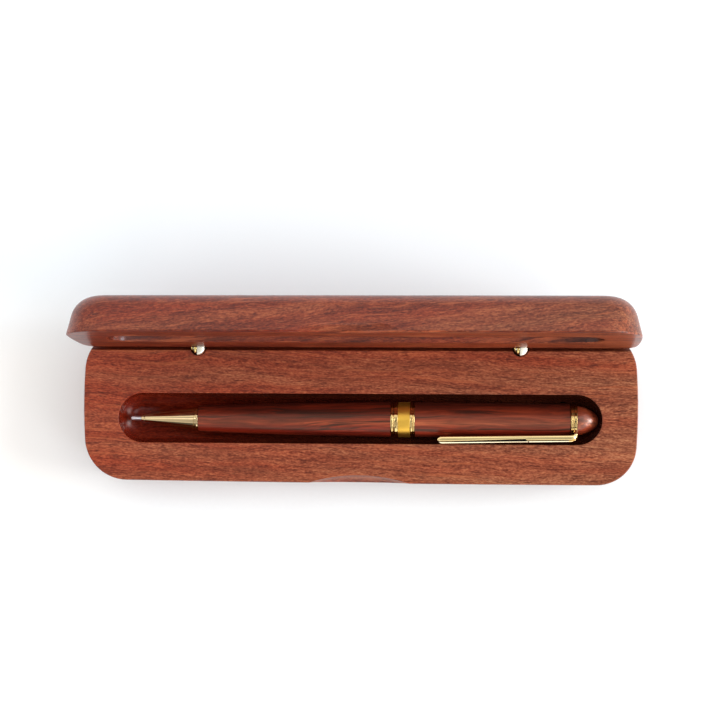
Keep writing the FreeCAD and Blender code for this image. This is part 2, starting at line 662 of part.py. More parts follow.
# the follower grips the refill and carries the pin that the cam drives
follower = turned("twist_follower", [
    (d.follower_pin_x - 6.0, d.refill_r + 0.01), (d.follower_pin_x - 6.0, d.follower_r),
    (d.follower_pin_x + 3.0, d.follower_r), (d.follower_pin_x + 3.0, 0.0),
    (d.refill_back + 0.05, 0.0), (d.refill_back + 0.05, d.refill_r + 0.01)])
doc.recompute()
sk = new_sketch(follower, "follower_pin_round", "XZ_Plane")
circle(sk, d.follower_pin_x, 0, d.follower_pin_r)
doc.recompute()
pin = feature(follower, "Pad", "follower_pin", sk)
pin.Reversed = True
bind(pin, "Length", d.follower_reach)
doc.recompute()
on_pen(follower, d.lead_angle)

# ------------------------------------------------------------- pen, lower half
on_pen(turned("nib_cone", [
    (d.cone_front, 0.72), (d.cone_front, d.cone_tip_r - 0.12), (d.cone_front + 0.15, d.cone_tip_r),
    (d.cone_back, d.cone_rear_r), (d.cone_back, d.cone_bead_r), (d.cone_end, d.cone_bead_r),
    (d.cone_end, d.lower_liner_bore - 0.01), (30.0, d.lower_liner_bore - 0.01), (30.0, 1.75),
    (13.1, 1.75), (13.1, 1.35), (8.9, 1.35), (8.9, 0.72)]))
on_pen(turned("lower_barrel", [
    (d.barrel_front, d.lower_liner_r + 0.01), (d.barrel_front, d.lower_small_r),
    (40.0, d.lower_mid_r), (60.0, d.lower_high_r),
    (d.barrel_back, d.lower_large_r), (d.barrel_back, d.lower_liner_r + 0.01)]))
on_pen(turned("lower_tube", [
    (d.barrel_front + 0.05, d.lower_liner_bore), (d.barrel_front + 0.05, d.lower_liner_r),
    (d.barrel_back - 0.1, d.lower_liner_r), (d.barrel_back - 0.1, d.lower_liner_bore)]))

sleeve = turned("twist_sleeve", [
    (d.sleeve_front, d.sleeve_bore), (d.sleeve_front, d.sleeve_r),
    (d.sleeve_back, d.sleeve_r), (d.sleeve_back, d.sleeve_bore)])
doc.recompute()
sk = new_sketch(sleeve, "sleeve_slot_plan", "XZ_Plane")
low_x = d.follower_pin_x - 0.9
high_x = d.follower_pin_x + d.travel + 0.9
profile(sk, [(low_x, -(d.follower_pin_r + 0.06)), (high_x, -(d.follower_pin_r + 0.06)),
             (high_x, d.follower_pin_r + 0.06), (low_x, d.follower_pin_r + 0.06)])


def one_wall(p):
    # XZ's normal points to -Y, and the slot is on the +Y wall only
    bind(p, "Length", d.sleeve_r + 1.0)


cut(sleeve, "Pocket", "sleeve_slot", sk, one_wall)
on_pen(sleeve, d.lead_angle)
on_pen(turned("twist_retaining_ring", [
    (103.2, d.sleeve_r + 0.01), (103.2, 3.7), (104.4, 3.7), (104.4, d.sleeve_r + 0.01)]))

# ------------------------------------------------------------- pen, upper half
cam = turned("twist_cam", [
    (d.cam_front, d.cam_bore), (d.cam_front, d.cam_r), (d.cam_back, d.cam_r), (d.cam_back, d.cam_bore)])
doc.recompute()
sk = new_sketch(cam, "cam_slot_section", "XY_Plane")
margin = d.travel * d.lead_angle / 180.0
slot_x = d.follower_pin_x - margin
profile(sk, [(slot_x - d.cam_slot / 2.0, d.cam_bore - 0.3), (slot_x + d.cam_slot / 2.0, d.cam_bore - 0.3),
             (slot_x + d.cam_slot / 2.0, d.cam_r + 0.3), (slot_x - d.cam_slot / 2.0, d.cam_r + 0.3)])


def winding(f):
    f.ReferenceAxis = (sk, ["H_Axis"])
    f.Mode = 0
    bind(f, "Pitch", d.travel * 2.0)
    bind(f, "Height", d.travel + margin * 2.0)
    f.LeftHanded = False
    f.Reversed = False


cut(cam, "SubtractiveHelix", "cam_slot_cut", sk, winding)
on_pen(cam)

bore = d.upper_liner_r + 0.01
on_pen(turned("band_front_ring", [
    (d.band_front, bore), (d.band_front, d.band_ring_r - 0.12, d.band_crown),
    (d.band_one, d.band_ring_r - 0.12), (d.band_one, bore)]))
on_pen(turned("band_sleeve", [
    (d.band_one + 0.02, bore), (d.band_one + 0.02, d.band_sleeve_r),
    (d.band_two - 0.02, d.band_sleeve_r), (d.band_two - 0.02, bore)]))
on_pen(turned("band_rear_ring", [
    (d.band_two, bore), (d.band_two, d.band_ring_r - 0.12, d.band_crown),
    (d.band_back, d.band_ring_r - 0.12), (d.band_back, bore)]))
on_pen(turned("upper_barrel", [
    (d.upper_front, bore), (d.upper_front, d.upper_large_r), (110.0, d.upper_mid_r),
    (d.upper_back, d.upper_small_r), (d.upper_back, bore)]))
on_pen(turned("upper_tube", [
    (d.band_front + 0.05, d.upper_liner_bore), (d.band_front + 0.05, d.upper_liner_r),
    (d.upper_back - 0.05, d.upper_liner_r), (d.upper_back - 0.05, d.upper_liner_bore)]))
on_pen(turned("trim_ring", [
    (d.trim_front, d.stud_bore), (d.trim_front, d.trim_r - 0.15, d.trim_crown),
    (d.trim_back, d.trim_r - 0.15), (d.trim_back, d.stud_bore)]))
on_pen(turned("finial_stud", [
    (d.upper_back - 6.5, 0.0), (d.upper_back - 6.5, d.upper_liner_bore - 0.01),
    (d.upper_back - 0.6, d.upper_liner_bore - 0.01), (d.upper_back - 0.6, d.stud_r),
    (d.upper_back + 4.6, d.stud_r), (d.upper_back + 4.6, 0.0)]))
nose = d.finial_end - d.finial_waist
nose_r = (nose * nose + d.finial_waist_r * d.finial_waist_r) / (nose * 2.0)
on_pen(turned("finial", [
    (d.finial_front, d.stud_bore), (d.finial_front, d.finial_r, d.finial_bow),
    (d.finial_waist, d.finial_waist_r, nose_r), (d.finial_end, 0.0),
    (d.upper_back + 4.7, 0.0), (d.upper_back + 4.7, d.stud_bore)]))

# clip: a ring on the stud, an ear, and a folded spring arm back along the barrel
clip = turned("clip", [
    (d.clip_front, d.stud_bore), (d.clip_front, d.clip_ring_r),
    (d.clip_back, d.clip_ring_r), (d.clip_back, d.stud_bore)])
doc.recompute()
sk = new_sketch(clip, "clip_ear_side", "XZ_Plane")
arm_low = d.clip_top - d.clip_sheet
bend = d.clip_back - d.clip_corner
profile(sk, [
    (bend - 0.3, d.clip_top), (bend, d.clip_top, d.clip_corner), (d.clip_back, d.clip_top - d.clip_corner),
    (d.clip_back, 4.2), (d.clip_front, 4.2), (d.clip_front, arm_low - 0.6), (d.clip_front - 0.6, arm_low),
    (bend - 0.3, arm_low)])
doc.recompute()
ear = feature(clip, "Pad", "clip_ear", sk)
ear.Midplane = True
bind(ear, "Length", d.clip_width)
doc.recompute()
sk = new_sketch(clip, "clip_arm_plan", "XY_Plane", (None, None, arm_low))
half = d.clip_width / 2.0
profile(sk, [(d.clip_tip + 1.0, -half, d.clip_end_round), (d.clip_tip + 1.0, half),
             (bend - 0.1, half), (bend - 0.1, -half)])
doc.recompute()
arm = feature(clip, "Pad", "clip_arm", sk)
bind(arm, "Length", d.clip_sheet)
doc.recompute()
for name, sign in (("near", -1.0), ("far", 1.0)):
    outer = d.clip_width * (0.5 * sign)
    inner = (d.clip_width / 2.0 - d.clip_wall) * sign
    sk = new_sketch(clip, "clip_%s_flange_plan" % name, "XY_Plane", (None, None, d.clip_top - d.clip_flange))
    profile(sk, [(d.clip_tip + 1.2, inner), (d.clip_flange_end, inner),
                 (d.clip_flange_end, outer), (d.clip_tip + 1.2, outer)])
    doc.recompute()
    wall = feature(clip, "Pad", "clip_%s_flange" % name, sk)
    bind(wall, "Length", d.clip_flange - d.clip_sheet / 2.0)
    doc.recompute()
# foot of the clip that bears on the barrel
sk = new_sketch(clip, "clip_foot_side", "XZ_Plane")
foot_x, foot_r, foot_z = d.clip_foot_x, d.clip_foot_r, d.clip_foot_gap
fx, fr, fz = foot_x.value, foot_r.value, foot_z.value + foot_r.value
low = sk.addGeometry(Part.ArcOfCircle(V(fx - fr, fz, 0), V(fx, fz - fr, 0), V(fx + fr, fz, 0)), False)
e_low = ends(sk, low, V(fx - fr, fz, 0))
up1 = sk.addGeometry(Part.LineSegment(V(fx + fr, fz, 0), V(fx + fr, arm_low.value + 0.2, 0)), False)
cap = sk.addGeometry(Part.LineSegment(V(fx + fr, arm_low.value + 0.2, 0), V(fx - fr, arm_low.value + 0.2, 0)), False)
up2 = sk.addGeometry(Part.LineSegment(V(fx - fr, arm_low.value + 0.2, 0), V(fx - fr, fz, 0)), False)
for a, b in (((low, e_low[1]), (up1, 1)), ((up1, 2), (cap, 1)), ((cap, 2), (up2, 1)), ((up2, 2), (low, e_low[0]))):
    sk.addConstraint(Sketcher.Constraint("Coincident", a[0], a[1], b[0], b[1]))
fix_point(sk, low, 3, foot_x, foot_z + foot_r)
fix_point(sk, up1, 1, foot_x + foot_r, foot_z + foot_r)
datum(sk, "DistanceY", (-1, 1, up2, 2), foot_z + foot_r)
fix_point(sk, cap, 1, foot_x + foot_r, arm_low + 0.2)
fix_point(sk, cap, 2, foot_x - foot_r, arm_low + 0.2)
doc.recompute()
foot = feature(clip, "Pad", "clip_foot", sk)
foot.Midplane = True
bind(foot, "Length", d.clip_width - d.clip_wall * 2.0)
doc.recompute()
on_pen(clip, d.clip_angle)

# ---------------------------------------------------------------------- write
doc.recompute()
for obj in doc.Objects:
    if "Invalid" in obj.State or "Error" in obj.State:
        raise RuntimeError("%s failed: %s" % (obj.Label, obj.State))
for piece in PIECES:
    shape = piece.Shape
    if shape.isNull() or not shape.isValid() or not shape.Solids:
        raise RuntimeError("%s has no sound solid" % piece.Label)
os.makedirs("parts", exist_ok=True)
for piece in PIECES:
    piece.Shape.exportStep("parts/%s.step" % piece.Label)
    box = piece.Shape.BoundBox
    print("%-28s solids %d  volume %9.3f  X %7.2f %7.2f  Y %7.2f %7.2f  Z %6.2f %6.2f" % (
        piece.Label, len(piece.Shape.Solids), piece.Shape.Volume,
        box.XMin, box.XMax, box.YMin, box.YMax, box.ZMin, box.ZMax))
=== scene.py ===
import json
import math

import bmesh
import bpy
from mathutils import Matrix, Vector


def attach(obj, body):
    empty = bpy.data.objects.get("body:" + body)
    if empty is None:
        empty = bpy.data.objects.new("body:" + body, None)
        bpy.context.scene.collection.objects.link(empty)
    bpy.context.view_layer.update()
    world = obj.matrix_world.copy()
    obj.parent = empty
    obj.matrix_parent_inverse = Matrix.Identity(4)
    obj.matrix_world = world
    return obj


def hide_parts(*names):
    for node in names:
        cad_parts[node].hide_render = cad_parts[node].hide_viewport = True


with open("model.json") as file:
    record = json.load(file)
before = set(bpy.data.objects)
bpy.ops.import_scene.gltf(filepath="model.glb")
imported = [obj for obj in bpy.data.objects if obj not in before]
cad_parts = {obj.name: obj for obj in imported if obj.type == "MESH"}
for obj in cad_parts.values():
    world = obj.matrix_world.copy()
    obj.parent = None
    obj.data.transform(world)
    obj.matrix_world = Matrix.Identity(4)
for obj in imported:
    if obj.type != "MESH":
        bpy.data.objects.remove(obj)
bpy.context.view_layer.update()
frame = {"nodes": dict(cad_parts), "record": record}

MM = 0.001
scene = bpy.context.scene
nodes = frame["nodes"]

# the pen's axis lies along X; stations are millimetres from its point
PEN_X, PEN_Y, PEN_Z = -69.0, -3.95, 12.46
CLIP_ANGLE = math.radians(48.5)
# lid hinge, and the angle at which the lid stands open
HINGE_Y, HINGE_Z, LID_ANGLE = 17.4, 17.0, math.radians(96.0)
GROOVE_Y, GROOVE_HALF, GROOVE_R = -3.65, 72.0, 7.4


# ------------------------------------------------------------------ shapes
def make(name, verts, faces, material, body, slot, stands_for=(), sharp=40.0):
    """A closed mesh piece, in metres, that rides on a body."""
    mesh = bpy.data.meshes.new(name)
    mesh.from_pydata(verts, [], faces)
    bm = bmesh.new()
    bm.from_mesh(mesh)
    bmesh.ops.remove_doubles(bm, verts=bm.verts, dist=1e-7)
    bmesh.ops.recalc_face_normals(bm, faces=bm.faces)
    bm.to_mesh(mesh)
    bm.free()
    mesh.shade_smooth()
    mesh.set_sharp_from_angle(angle=math.radians(sharp))
    mesh.materials.append(material)
    obj = bpy.data.objects.new(name, mesh)
    scene.collection.objects.link(obj)
    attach(obj, body)
    if stands_for:
        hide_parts(*stands_for)
    return obj


def rounded(points, steps=5):
    """A closed path of (x, y[, fillet]) with its corners rounded."""
    out, n = [], len(points)
    for i, p in enumerate(points):
        fillet = p[2] if len(p) > 2 else 0.0
        here = Vector(p[:2])
        if not fillet:
            out.append(tuple(here))
            continue
        to_a = Vector(points[i - 1][:2]) - here
        to_b = Vector(points[(i + 1) % n][:2]) - here
        half = to_a.angle(to_b) / 2
        reach = min(fillet / math.tan(half), 0.48 * to_a.length, 0.48 * to_b.length)
        fillet = reach * math.tan(half)
        a, b = here + to_a.normalized() * reach, here + to_b.normalized() * reach
        c = here + (to_a.normalized() + to_b.normalized()).normalized() * (fillet / math.sin(half))
        a0 = math.atan2(a.y - c.y, a.x - c.x)
        turn = math.atan2(b.y - c.y, b.x - c.x) - a0
        turn = (turn + math.pi) % (2 * math.pi) - math.pi
        for k in range(steps + 1):
            t = a0 + turn * k / steps
            out.append((c.x + fillet * math.cos(t), c.y + fillet * math.sin(t)))
    return out


def through(points, count):
    """Points on the smooth curve y(x) through a few given points."""
    xs, ys = [p[0] for p in points], [p[1] for p in points]
    out = []
    for k in range(count + 1):
        x = xs[0] + (xs[-1] - xs[0]) * k / count
        y = 0.0
        for i in range(len(xs)):
            term = ys[i]
            for j in range(len(xs)):
                if j != i:
                    term *= (x - xs[j]) / (xs[i] - xs[j])
            y += term
        out.append((x, y))
    return out


def lathe(path, segments=144):
    """Vertices and faces of a closed path of (station, radius) turned round the pen's axis."""
    verts, faces, rings = [], [], []
    for s, r in path:
        x = MM * (s + PEN_X)
        if r < 1e-6:
            rings.append([len(verts)])
            verts.append((x, MM * PEN_Y, MM * PEN_Z))
            continue
        ring = []
        for k in range(segments):
            a = 2 * math.pi * k / segments
            ring.append(len(verts))
            verts.append((x, MM * (PEN_Y - r * math.sin(a)), MM * (PEN_Z + r * math.cos(a))))
        rings.append(ring)
    for i in range(len(rings)):
        a, b = rings[i], rings[(i + 1) % len(rings)]
        if len(a) == 1 and len(b) == 1:
            continue
        for k in range(segments):
            m = (k + 1) % segments
            if len(a) == 1:
                faces.append((a[0], b[k], b[m]))
            elif len(b) == 1:
                faces.append((a[k], b[0], a[m]))
            else:
                faces.append((a[k], b[k], b[m], a[m]))
    return verts, faces


# --------------------------------------------------------------- materials
class Surface:
    """A node material under construction."""

    def __init__(self, name, world=None):
        if world:
            world.use_nodes = True
            self.tree = world.node_tree
            self.tree.nodes.clear()
            out = self.node("ShaderNodeOutputWorld")
            self.bsdf = self.node("ShaderNodeBackground")
            self.tree.links.new(self.bsdf.outputs["Background"], out.inputs["Surface"])
            return
        self.mat = bpy.data.materials.new(name)
        self.mat.use_nodes = True
        self.tree = self.mat.node_tree
        self.tree.nodes.clear()
        out = self.node("ShaderNodeOutputMaterial")
        self.bsdf = self.node("ShaderNodeBsdfPrincipled")
        self.tree.links.new(self.bsdf.outputs["BSDF"], out.inputs["Surface"])

    def node(self, kind, **settings):
        n = self.tree.nodes.new(kind)
        for key, value in settings.items():
            setattr(n, key, value)
        return n

    def put(self, value, socket):
        if isinstance(value, bpy.types.NodeSocket):
            self.tree.links.new(value, socket)
        elif isinstance(value, (tuple, list, Vector)) and len(value) == 3 and socket.type == "RGBA":
            socket.default_value = (*value, 1.0)
        else:
            socket.default_value = value

    def set(self, name, value):
        self.put(value, self.bsdf.inputs[name])

    def math(self, op, a, b=0.0, c=0.0, clamp=False):
        n = self.node("ShaderNodeMath", operation=op, use_clamp=clamp)
        for value, socket in zip((a, b, c), n.inputs):
            self.put(value, socket)
        return n.outputs[0]

    def vector(self, op, a, b=None, scale=None):
        n = self.node("ShaderNodeVectorMath", operation=op)
        self.put(a, n.inputs[0])
        if b is not None:
            self.put(b, n.inputs[1])
        if scale is not None:
            self.put(scale, n.inputs["Scale"])
        return n.outputs["Value"] if op in ("DOT_PRODUCT", "LENGTH", "DISTANCE") else n.outputs["Vector"]

    def place(self):
        """Object coordinates in millimetres."""
        co = self.node("ShaderNodeTexCoord").outputs["Object"]
        return self.vector("SCALE", co, scale=1000.0)

    def split(self, v):
        n = self.node("ShaderNodeSeparateXYZ")
        self.put(v, n.inputs[0])
        return n.outputs[0], n.outputs[1], n.outputs[2]

    def join(self, x, y, z):
        n = self.node("ShaderNodeCombineXYZ")
        for value, socket in zip((x, y, z), n.inputs):
            self.put(value, socket)
        return n.outputs[0]

    def noise(self, v, scale=1.0, detail=2.0, rough=0.5, warp=0.0):
        n = self.node("ShaderNodeTexNoise", noise_dimensions="3D")
        self.put(v, n.inputs["Vector"])
        n.inputs["Scale"].default_value = scale
        n.inputs["Detail"].default_value = detail
        n.inputs["Roughness"].default_value = rough
        n.inputs["Distortion"].default_value = warp
        return n.outputs["Fac"]

    def step(self, value, low, high, to_low=0.0, to_high=1.0):
        n = self.node("ShaderNodeMapRange", interpolation_type="SMOOTHSTEP", clamp=True)
        self.put(value, n.inputs["Value"])
        n.inputs["From Min"].default_value = low
        n.inputs["From Max"].default_value = high
        n.inputs["To Min"].default_value = to_low
        n.inputs["To Max"].default_value = to_high
        return n.outputs["Result"]

    def ramp(self, fac, stops):
        n = self.node("ShaderNodeValToRGB")
        ramp = n.color_ramp
        while len(ramp.elements) < len(stops):
            ramp.elements.new(0.5)
        for element, (position, colour) in zip(ramp.elements, stops):
            element.position = position
            element.color = (*colour, 1.0)
        self.put(fac, n.inputs["Fac"])
        return n.outputs["Color"]

    def mix(self, fac, a, b, blend="MIX"):
        n = self.node("ShaderNodeMix", data_type="RGBA", blend_type=blend)
        self.put(fac, n.inputs[0])
        self.put(a, n.inputs[6])
        self.put(b, n.inputs[7])
        return n.outputs[2]

    def bump(self, height, strength, distance):
        n = self.node("ShaderNodeBump")
        n.inputs["Strength"].default_value = strength
        n.inputs["Distance"].default_value = distance
        self.put(height, n.inputs["Height"])
        self.put(n.outputs["Normal"], self.bsdf.inputs["Normal"])


def grain(s, co, slant, seed):
    """Coordinates along and across the grain: slightly slanted, and wavy."""
    x, y, z = s.split(co)
    a = math.radians(slant)
    along = s.math("ADD", s.math("MULTIPLY", x, math.cos(a)), s.math("MULTIPLY", y, math.sin(a)))
    across = s.math("SUBTRACT", s.math("MULTIPLY", y, math.cos(a)), s.math("MULTIPLY", x, math.sin(a)))
    slow = s.join(s.math("MULTIPLY", along, 0.022), s.math("MULTIPLY", across, 0.09), s.math("MULTIPLY", z, 0.09))
    slow = s.vector("ADD", slow, (seed, seed * 0.7, seed * 1.3))
    drift = s.math("SUBTRACT", s.noise(slow, 1.0, 2.0), 0.5)
    drift2 = s.math("SUBTRACT", s.noise(s.vector("ADD", slow, (7.1, 3.3, 9.7)), 1.0, 1.0), 0.5)
    across = s.math("ADD", across, s.math("MULTIPLY", drift, 6.5))
    deep = s.math("ADD", z, s.math("MULTIPLY", drift2, 4.0))
    return along, across, deep


def streaks(s, parts, fx, fy, seed, detail=3.0, rough=0.55):
    along, across, deep = parts
    v = s.join(s.math("MULTIPLY", along, fx), s.math("MULTIPLY", across, fy), s.math("MULTIPLY", deep, fy))
    return s.noise(s.vector("ADD", v, (seed, seed * 1.7, seed * 0.6)), 1.0, detail, rough)


def capsule(s, x, y, centre_y, half, radius):
    """1 inside a round-ended slot of the plan, 0 outside it."""
    beyond = s.math("MAXIMUM", s.math("SUBTRACT", s.math("ABSOLUTE", x), half - radius), 0.0)
    side = s.math("SUBTRACT", y, centre_y)
    reach = s.math("SQRT", s.math("ADD", s.math("MULTIPLY", beyond, beyond), s.math("MULTIPLY", side, side)))
    return s.step(reach, radius + 0.35, radius + 0.05)


def case_wood(name, slant, seed, lid):
    s = Surface(name)
    co = s.place()
    x, y, z = s.split(co)
    parts = grain(s, co, slant, seed)
    broad = streaks(s, parts, 0.012, 0.16, seed + 1.0, 3.0)
    band = streaks(s, parts, 0.030, 0.50, seed + 2.0, 4.0, 0.6)
    fibre = streaks(s, parts, 0.13, 1.55, seed + 3.0, 4.0, 0.65)
    fine = streaks(s, parts, 0.42, 3.1, seed + 4.0, 3.0, 0.65)
    pores = s.step(streaks(s, parts, 0.24, 2.0, seed + 5.0, 3.0, 0.6), 0.56, 0.68)
    flecks = s.step(streaks(s, parts, 0.17, 1.6, seed + 6.0, 3.0, 0.6), 0.58, 0.72)
    lines = s.step(streaks(s, parts, 0.020, 0.9, seed + 7.0, 3.0, 0.5), 0.60, 0.70)

    tone = s.math("ADD", s.math("MULTIPLY", band, 0.50), s.math("MULTIPLY", fibre, 0.50))
    tone = s.math("ADD", tone, s.math("MULTIPLY", s.math("SUBTRACT", fine, 0.5), 0.85))
    speck = streaks(s, parts, 1.2, 3.6, seed + 8.0, 1.0, 0.5)
    tone = s.math("ADD", tone, s.math("MULTIPLY", s.math("SUBTRACT", speck, 0.5), 0.70))
    if lid:
        # distance from the hinge across the closed lid, and up from its flat face
        c, d = math.cos(LID_ANGLE), math.sin(LID_ANGLE)
        ly = s.math("SUBTRACT", y, HINGE_Y)
        lz = s.math("SUBTRACT", z, HINGE_Z)
        plan_y = s.math("ADD", s.math("SUBTRACT", s.math("MULTIPLY", ly, c), s.math("MULTIPLY", lz, d)), HINGE_Y)
        depth = s.math("ADD", s.math("MULTIPLY", ly, d), s.math("MULTIPLY", lz, c))
        hollow = s.math("MULTIPLY", s.step(depth, 0.10, 0.45), s.step(depth, 7.0, 6.2))
        hollow = s.math("MULTIPLY", hollow, capsule(s, x, plan_y, GROOVE_Y, GROOVE_HALF, GROOVE_R))
        facing = s.math("MAXIMUM", s.step(depth, 0.7, 0.15), hollow)
        wide = streaks(s, parts, 0.016, 0.20, seed + 9.0, 4.0, 0.65)
        tone = s.math("ADD", tone, s.math("MULTIPLY", s.math("SUBTRACT", wide, 0.5), 0.70))
    colour = s.ramp(tone, [
        (0.26, (0.105, 0.0150, 0.0062)),
        (0.42, (0.185, 0.0300, 0.0130)),
        (0.54, (0.262, 0.0480, 0.0215)),
        (0.66, (0.335, 0.0710, 0.0320)),
        (0.80, (0.430, 0.1080, 0.0470)),
    ])
    # warmer towards the point, duller towards the finial
    warm = s.math("ADD", s.math("MULTIPLY", x, -0.0050), s.math("MULTIPLY", s.math("SUBTRACT", broad, 0.5), 2.2))
    if not lid:
        warm = s.math("ADD", warm, s.math("MULTIPLY", s.math("MAXIMUM", y, -15.0), 0.009))
    warm = s.math("ADD", warm, 0.5, clamp=True)
    colour = s.mix(1.0, colour, s.mix(warm, (1.04, 1.72, 1.78), (1.14, 0.97, 0.78)), "MULTIPLY")
    if lid:
        colour = s.mix(1.0, colour, (0.70, 0.605, 0.53), "MULTIPLY")
        # the flat inner face is painted darker towards the left and lighter towards the right: painted shade and light,
        # for the window on the right
        colour = s.mix(facing, colour, s.mix(1.0, colour, s.mix(s.step(x, -65.0, 50.0), (0.80, 0.54, 0.48),
                                                                (1.34, 1.10, 1.02)), "MULTIPLY"))
    colour = s.mix(s.math("MULTIPLY", flecks, 0.40), colour, (0.47, 0.130, 0.050))
    colour = s.mix(s.math("MULTIPLY", lines, 0.45), colour, (0.44, 0.110, 0.040))
    colour = s.mix(s.math("MULTIPLY", pores, 0.66), colour, (0.066, 0.0110, 0.0050))

    # the pen's groove, and the hollow over it in the lid, carry painted shade: the groove is painted darker for the
    # shade inside it, and darker still towards the right under the pen; the lid's hollow is painted dark at its right
    # end, a painted shadow on the end wall facing away from the window. The groove and the left end of the lid's hollow
    # are lacquered glossier
    if lid:
        darks = s.step(streaks(s, parts, 0.018, 0.30, seed + 10.0, 4.0, 0.62), 0.53, 0.61)
        lights = s.step(streaks(s, parts, 0.016, 0.40, seed + 12.0, 4.0, 0.62), 0.55, 0.64)
        colour = s.mix(s.math("MULTIPLY", s.math("MULTIPLY", lights, facing), 0.70), colour, (0.44, 0.105, 0.036))
        colour = s.mix(s.math("MULTIPLY", s.math("MULTIPLY", darks, facing), 0.64), colour, (0.040, 0.0080, 0.0050))
        # painted shade along the lid's edge at the hinge, standing for the shadowed crevice between lid and base
        colour = s.mix(s.math("MULTIPLY", s.step(plan_y, 17.0, 17.5), s.step(depth, 1.6, 0.9)), colour,
                       s.mix(1.0, colour, (0.30, 0.24, 0.24), "MULTIPLY"))
        ends = s.math("MULTIPLY", hollow, s.step(x, -54.0, -66.0))
        # painted shadow at the right end of the lid's hollow
        painted_shade = s.mix(s.step(x, 54.0, 64.0), (0.98, 0.92, 0.88), (0.24, 0.17, 0.16))
    else:
        hollow = s.math("MULTIPLY", s.step(z, 16.95, 16.55), capsule(s, x, y, GROOVE_Y, GROOVE_HALF, GROOVE_R))
        ends = hollow
        # painted shade in the groove, darker towards the right under the pen
        painted_shade = s.mix(s.step(x, -62.0, -22.0), (0.52, 0.20, 0.16), (0.20, 0.11, 0.11))
        # the bevel behind the hinges is painted dark: painted shade for the crevice between base and lid
        colour = s.mix(s.math("MULTIPLY", s.step(y, 16.45, 16.85), s.step(z, 12.0, 15.5)), colour,
                       s.mix(1.0, colour, (0.34, 0.27, 0.28), "MULTIPLY"))
    colour = s.mix(s.math("MULTIPLY", hollow, 0.94), colour, s.mix(1.0, colour, painted_shade, "MULTIPLY"))
    s.set("Base Color", colour)

    rough = s.math("ADD", s.math("MULTIPLY", fibre, 0.16), s.math("MULTIPLY", pores, 0.12))
    rough = s.math("ADD", rough, 0.34)
    s.set("Roughness", s.math("SUBTRACT", rough, s.math("MULTIPLY", ends, 0.22)))
    s.set("Specular IOR Level", 0.16)
    coat = s.math("ADD", s.math("MULTIPLY", ends, 0.60), 0.40 if lid else 0.16)
    if lid:
        # the flat face that closes on the base is rubbed down, apart from its ends
        flat = s.math("MULTIPLY", s.math("SUBTRACT", facing, hollow, clamp=True), s.step(s.math("ABSOLUTE", x), 76.0, 70.0))
        coat = s.math("SUBTRACT", coat, s.math("MULTIPLY", flat, 0.32))
    s.set("Coat Weight", coat)
    s.set("Coat Roughness", 0.19)
    height = s.math("SUBTRACT", s.math("ADD", s.math("MULTIPLY", fibre, 0.6), s.math("MULTIPLY", fine, 0.4)),
                    s.math("MULTIPLY", pores, 0.7))
    s.bump(height, 0.22, 0.00012)
    return s.mat


def pen_wood(name, seed, tint, gloss, veins_and_painted_light):
    s = Surface(name)
    co = s.place()
    parts = grain(s, co, 0.4, seed)
    band = streaks(s, parts, 0.018, 0.42, seed + 1.0, 4.0, 0.6)
    vein = streaks(s, parts, 0.030, 1.5, seed + 2.0, 3.0, 0.6)
    fibre = streaks(s, parts, 0.10, 3.8, seed + 3.0, 3.0, 0.6)
    pores = s.step(streaks(s, parts, 0.20, 4.2, seed + 4.0, 2.0, 0.5), 0.57, 0.70)
    dark = s.step(streaks(s, parts, 0.022, 0.95, seed + 5.0, 3.0, 0.6), 0.52, 0.63)
    tone = s.math("ADD", s.math("MULTIPLY", band, 0.5), s.math("MULTIPLY", vein, 0.3))
    tone = s.math("ADD", tone, s.math("MULTIPLY", fibre, 0.2))
    tone = s.math("ADD", s.math("MULTIPLY", s.math("SUBTRACT", tone, 0.5), 1.30), 0.5)
    colour = s.ramp(tone, [
        (0.28, (0.022, 0.0040, 0.0028)),
        (0.42, (0.060, 0.0085, 0.0045)),
        (0.54, (0.118, 0.0170, 0.0075)),
        (0.66, (0.190, 0.0330, 0.0130)),
        (0.80, (0.270, 0.0620, 0.0240)),
    ])
    x, y, z = s.split(co)
    # painted light round the pen: the back, under the open lid, is painted darker as shade, and a band a little towards
    # the front is painted lighter and paler as a painted highlight; the last argument sets how strongly this and the
    # dark veins show
    round_to = s.math("MULTIPLY", s.math("ADD", s.math("SUBTRACT", y, PEN_Y), 5.0), 0.1)
    side = s.ramp(round_to, [(0.0, (0.80, 0.55, 0.48)), (0.20, (0.95, 0.45, 0.36)), (0.30, (1.10, 0.90, 0.80)), (0.41, (1.85, 3.40, 3.60)),
                             (0.52, (1.15, 1.40, 1.40)), (0.66, (0.60, 0.52, 0.52)), (0.95, (0.42, 0.32, 0.34))])
    colour = s.mix(1.0, colour, tint, "MULTIPLY")
    colour = s.mix(veins_and_painted_light, colour, s.mix(1.0, colour, side, "MULTIPLY"))
    colour = s.mix(s.math("MULTIPLY", dark, veins_and_painted_light), colour, (0.016, 0.0040, 0.0030))
    colour = s.mix(s.math("MULTIPLY", pores, 0.45), colour, (0.014, 0.0040, 0.0030))
    s.set("Base Color", colour)
    s.set("Roughness", s.math("ADD", s.math("MULTIPLY", fibre, 0.14), 0.36))
    s.set("Specular IOR Level", 0.60)
    s.set("Specular Tint", (1.0, 0.74, 0.55, 1.0))
    s.set("Coat Weight", gloss)
    s.set("Coat Roughness", 0.22)
    s.bump(s.math("SUBTRACT", fibre, s.math("MULTIPLY", pores, 0.8)), 0.10, 0.00008)
    return s.mat


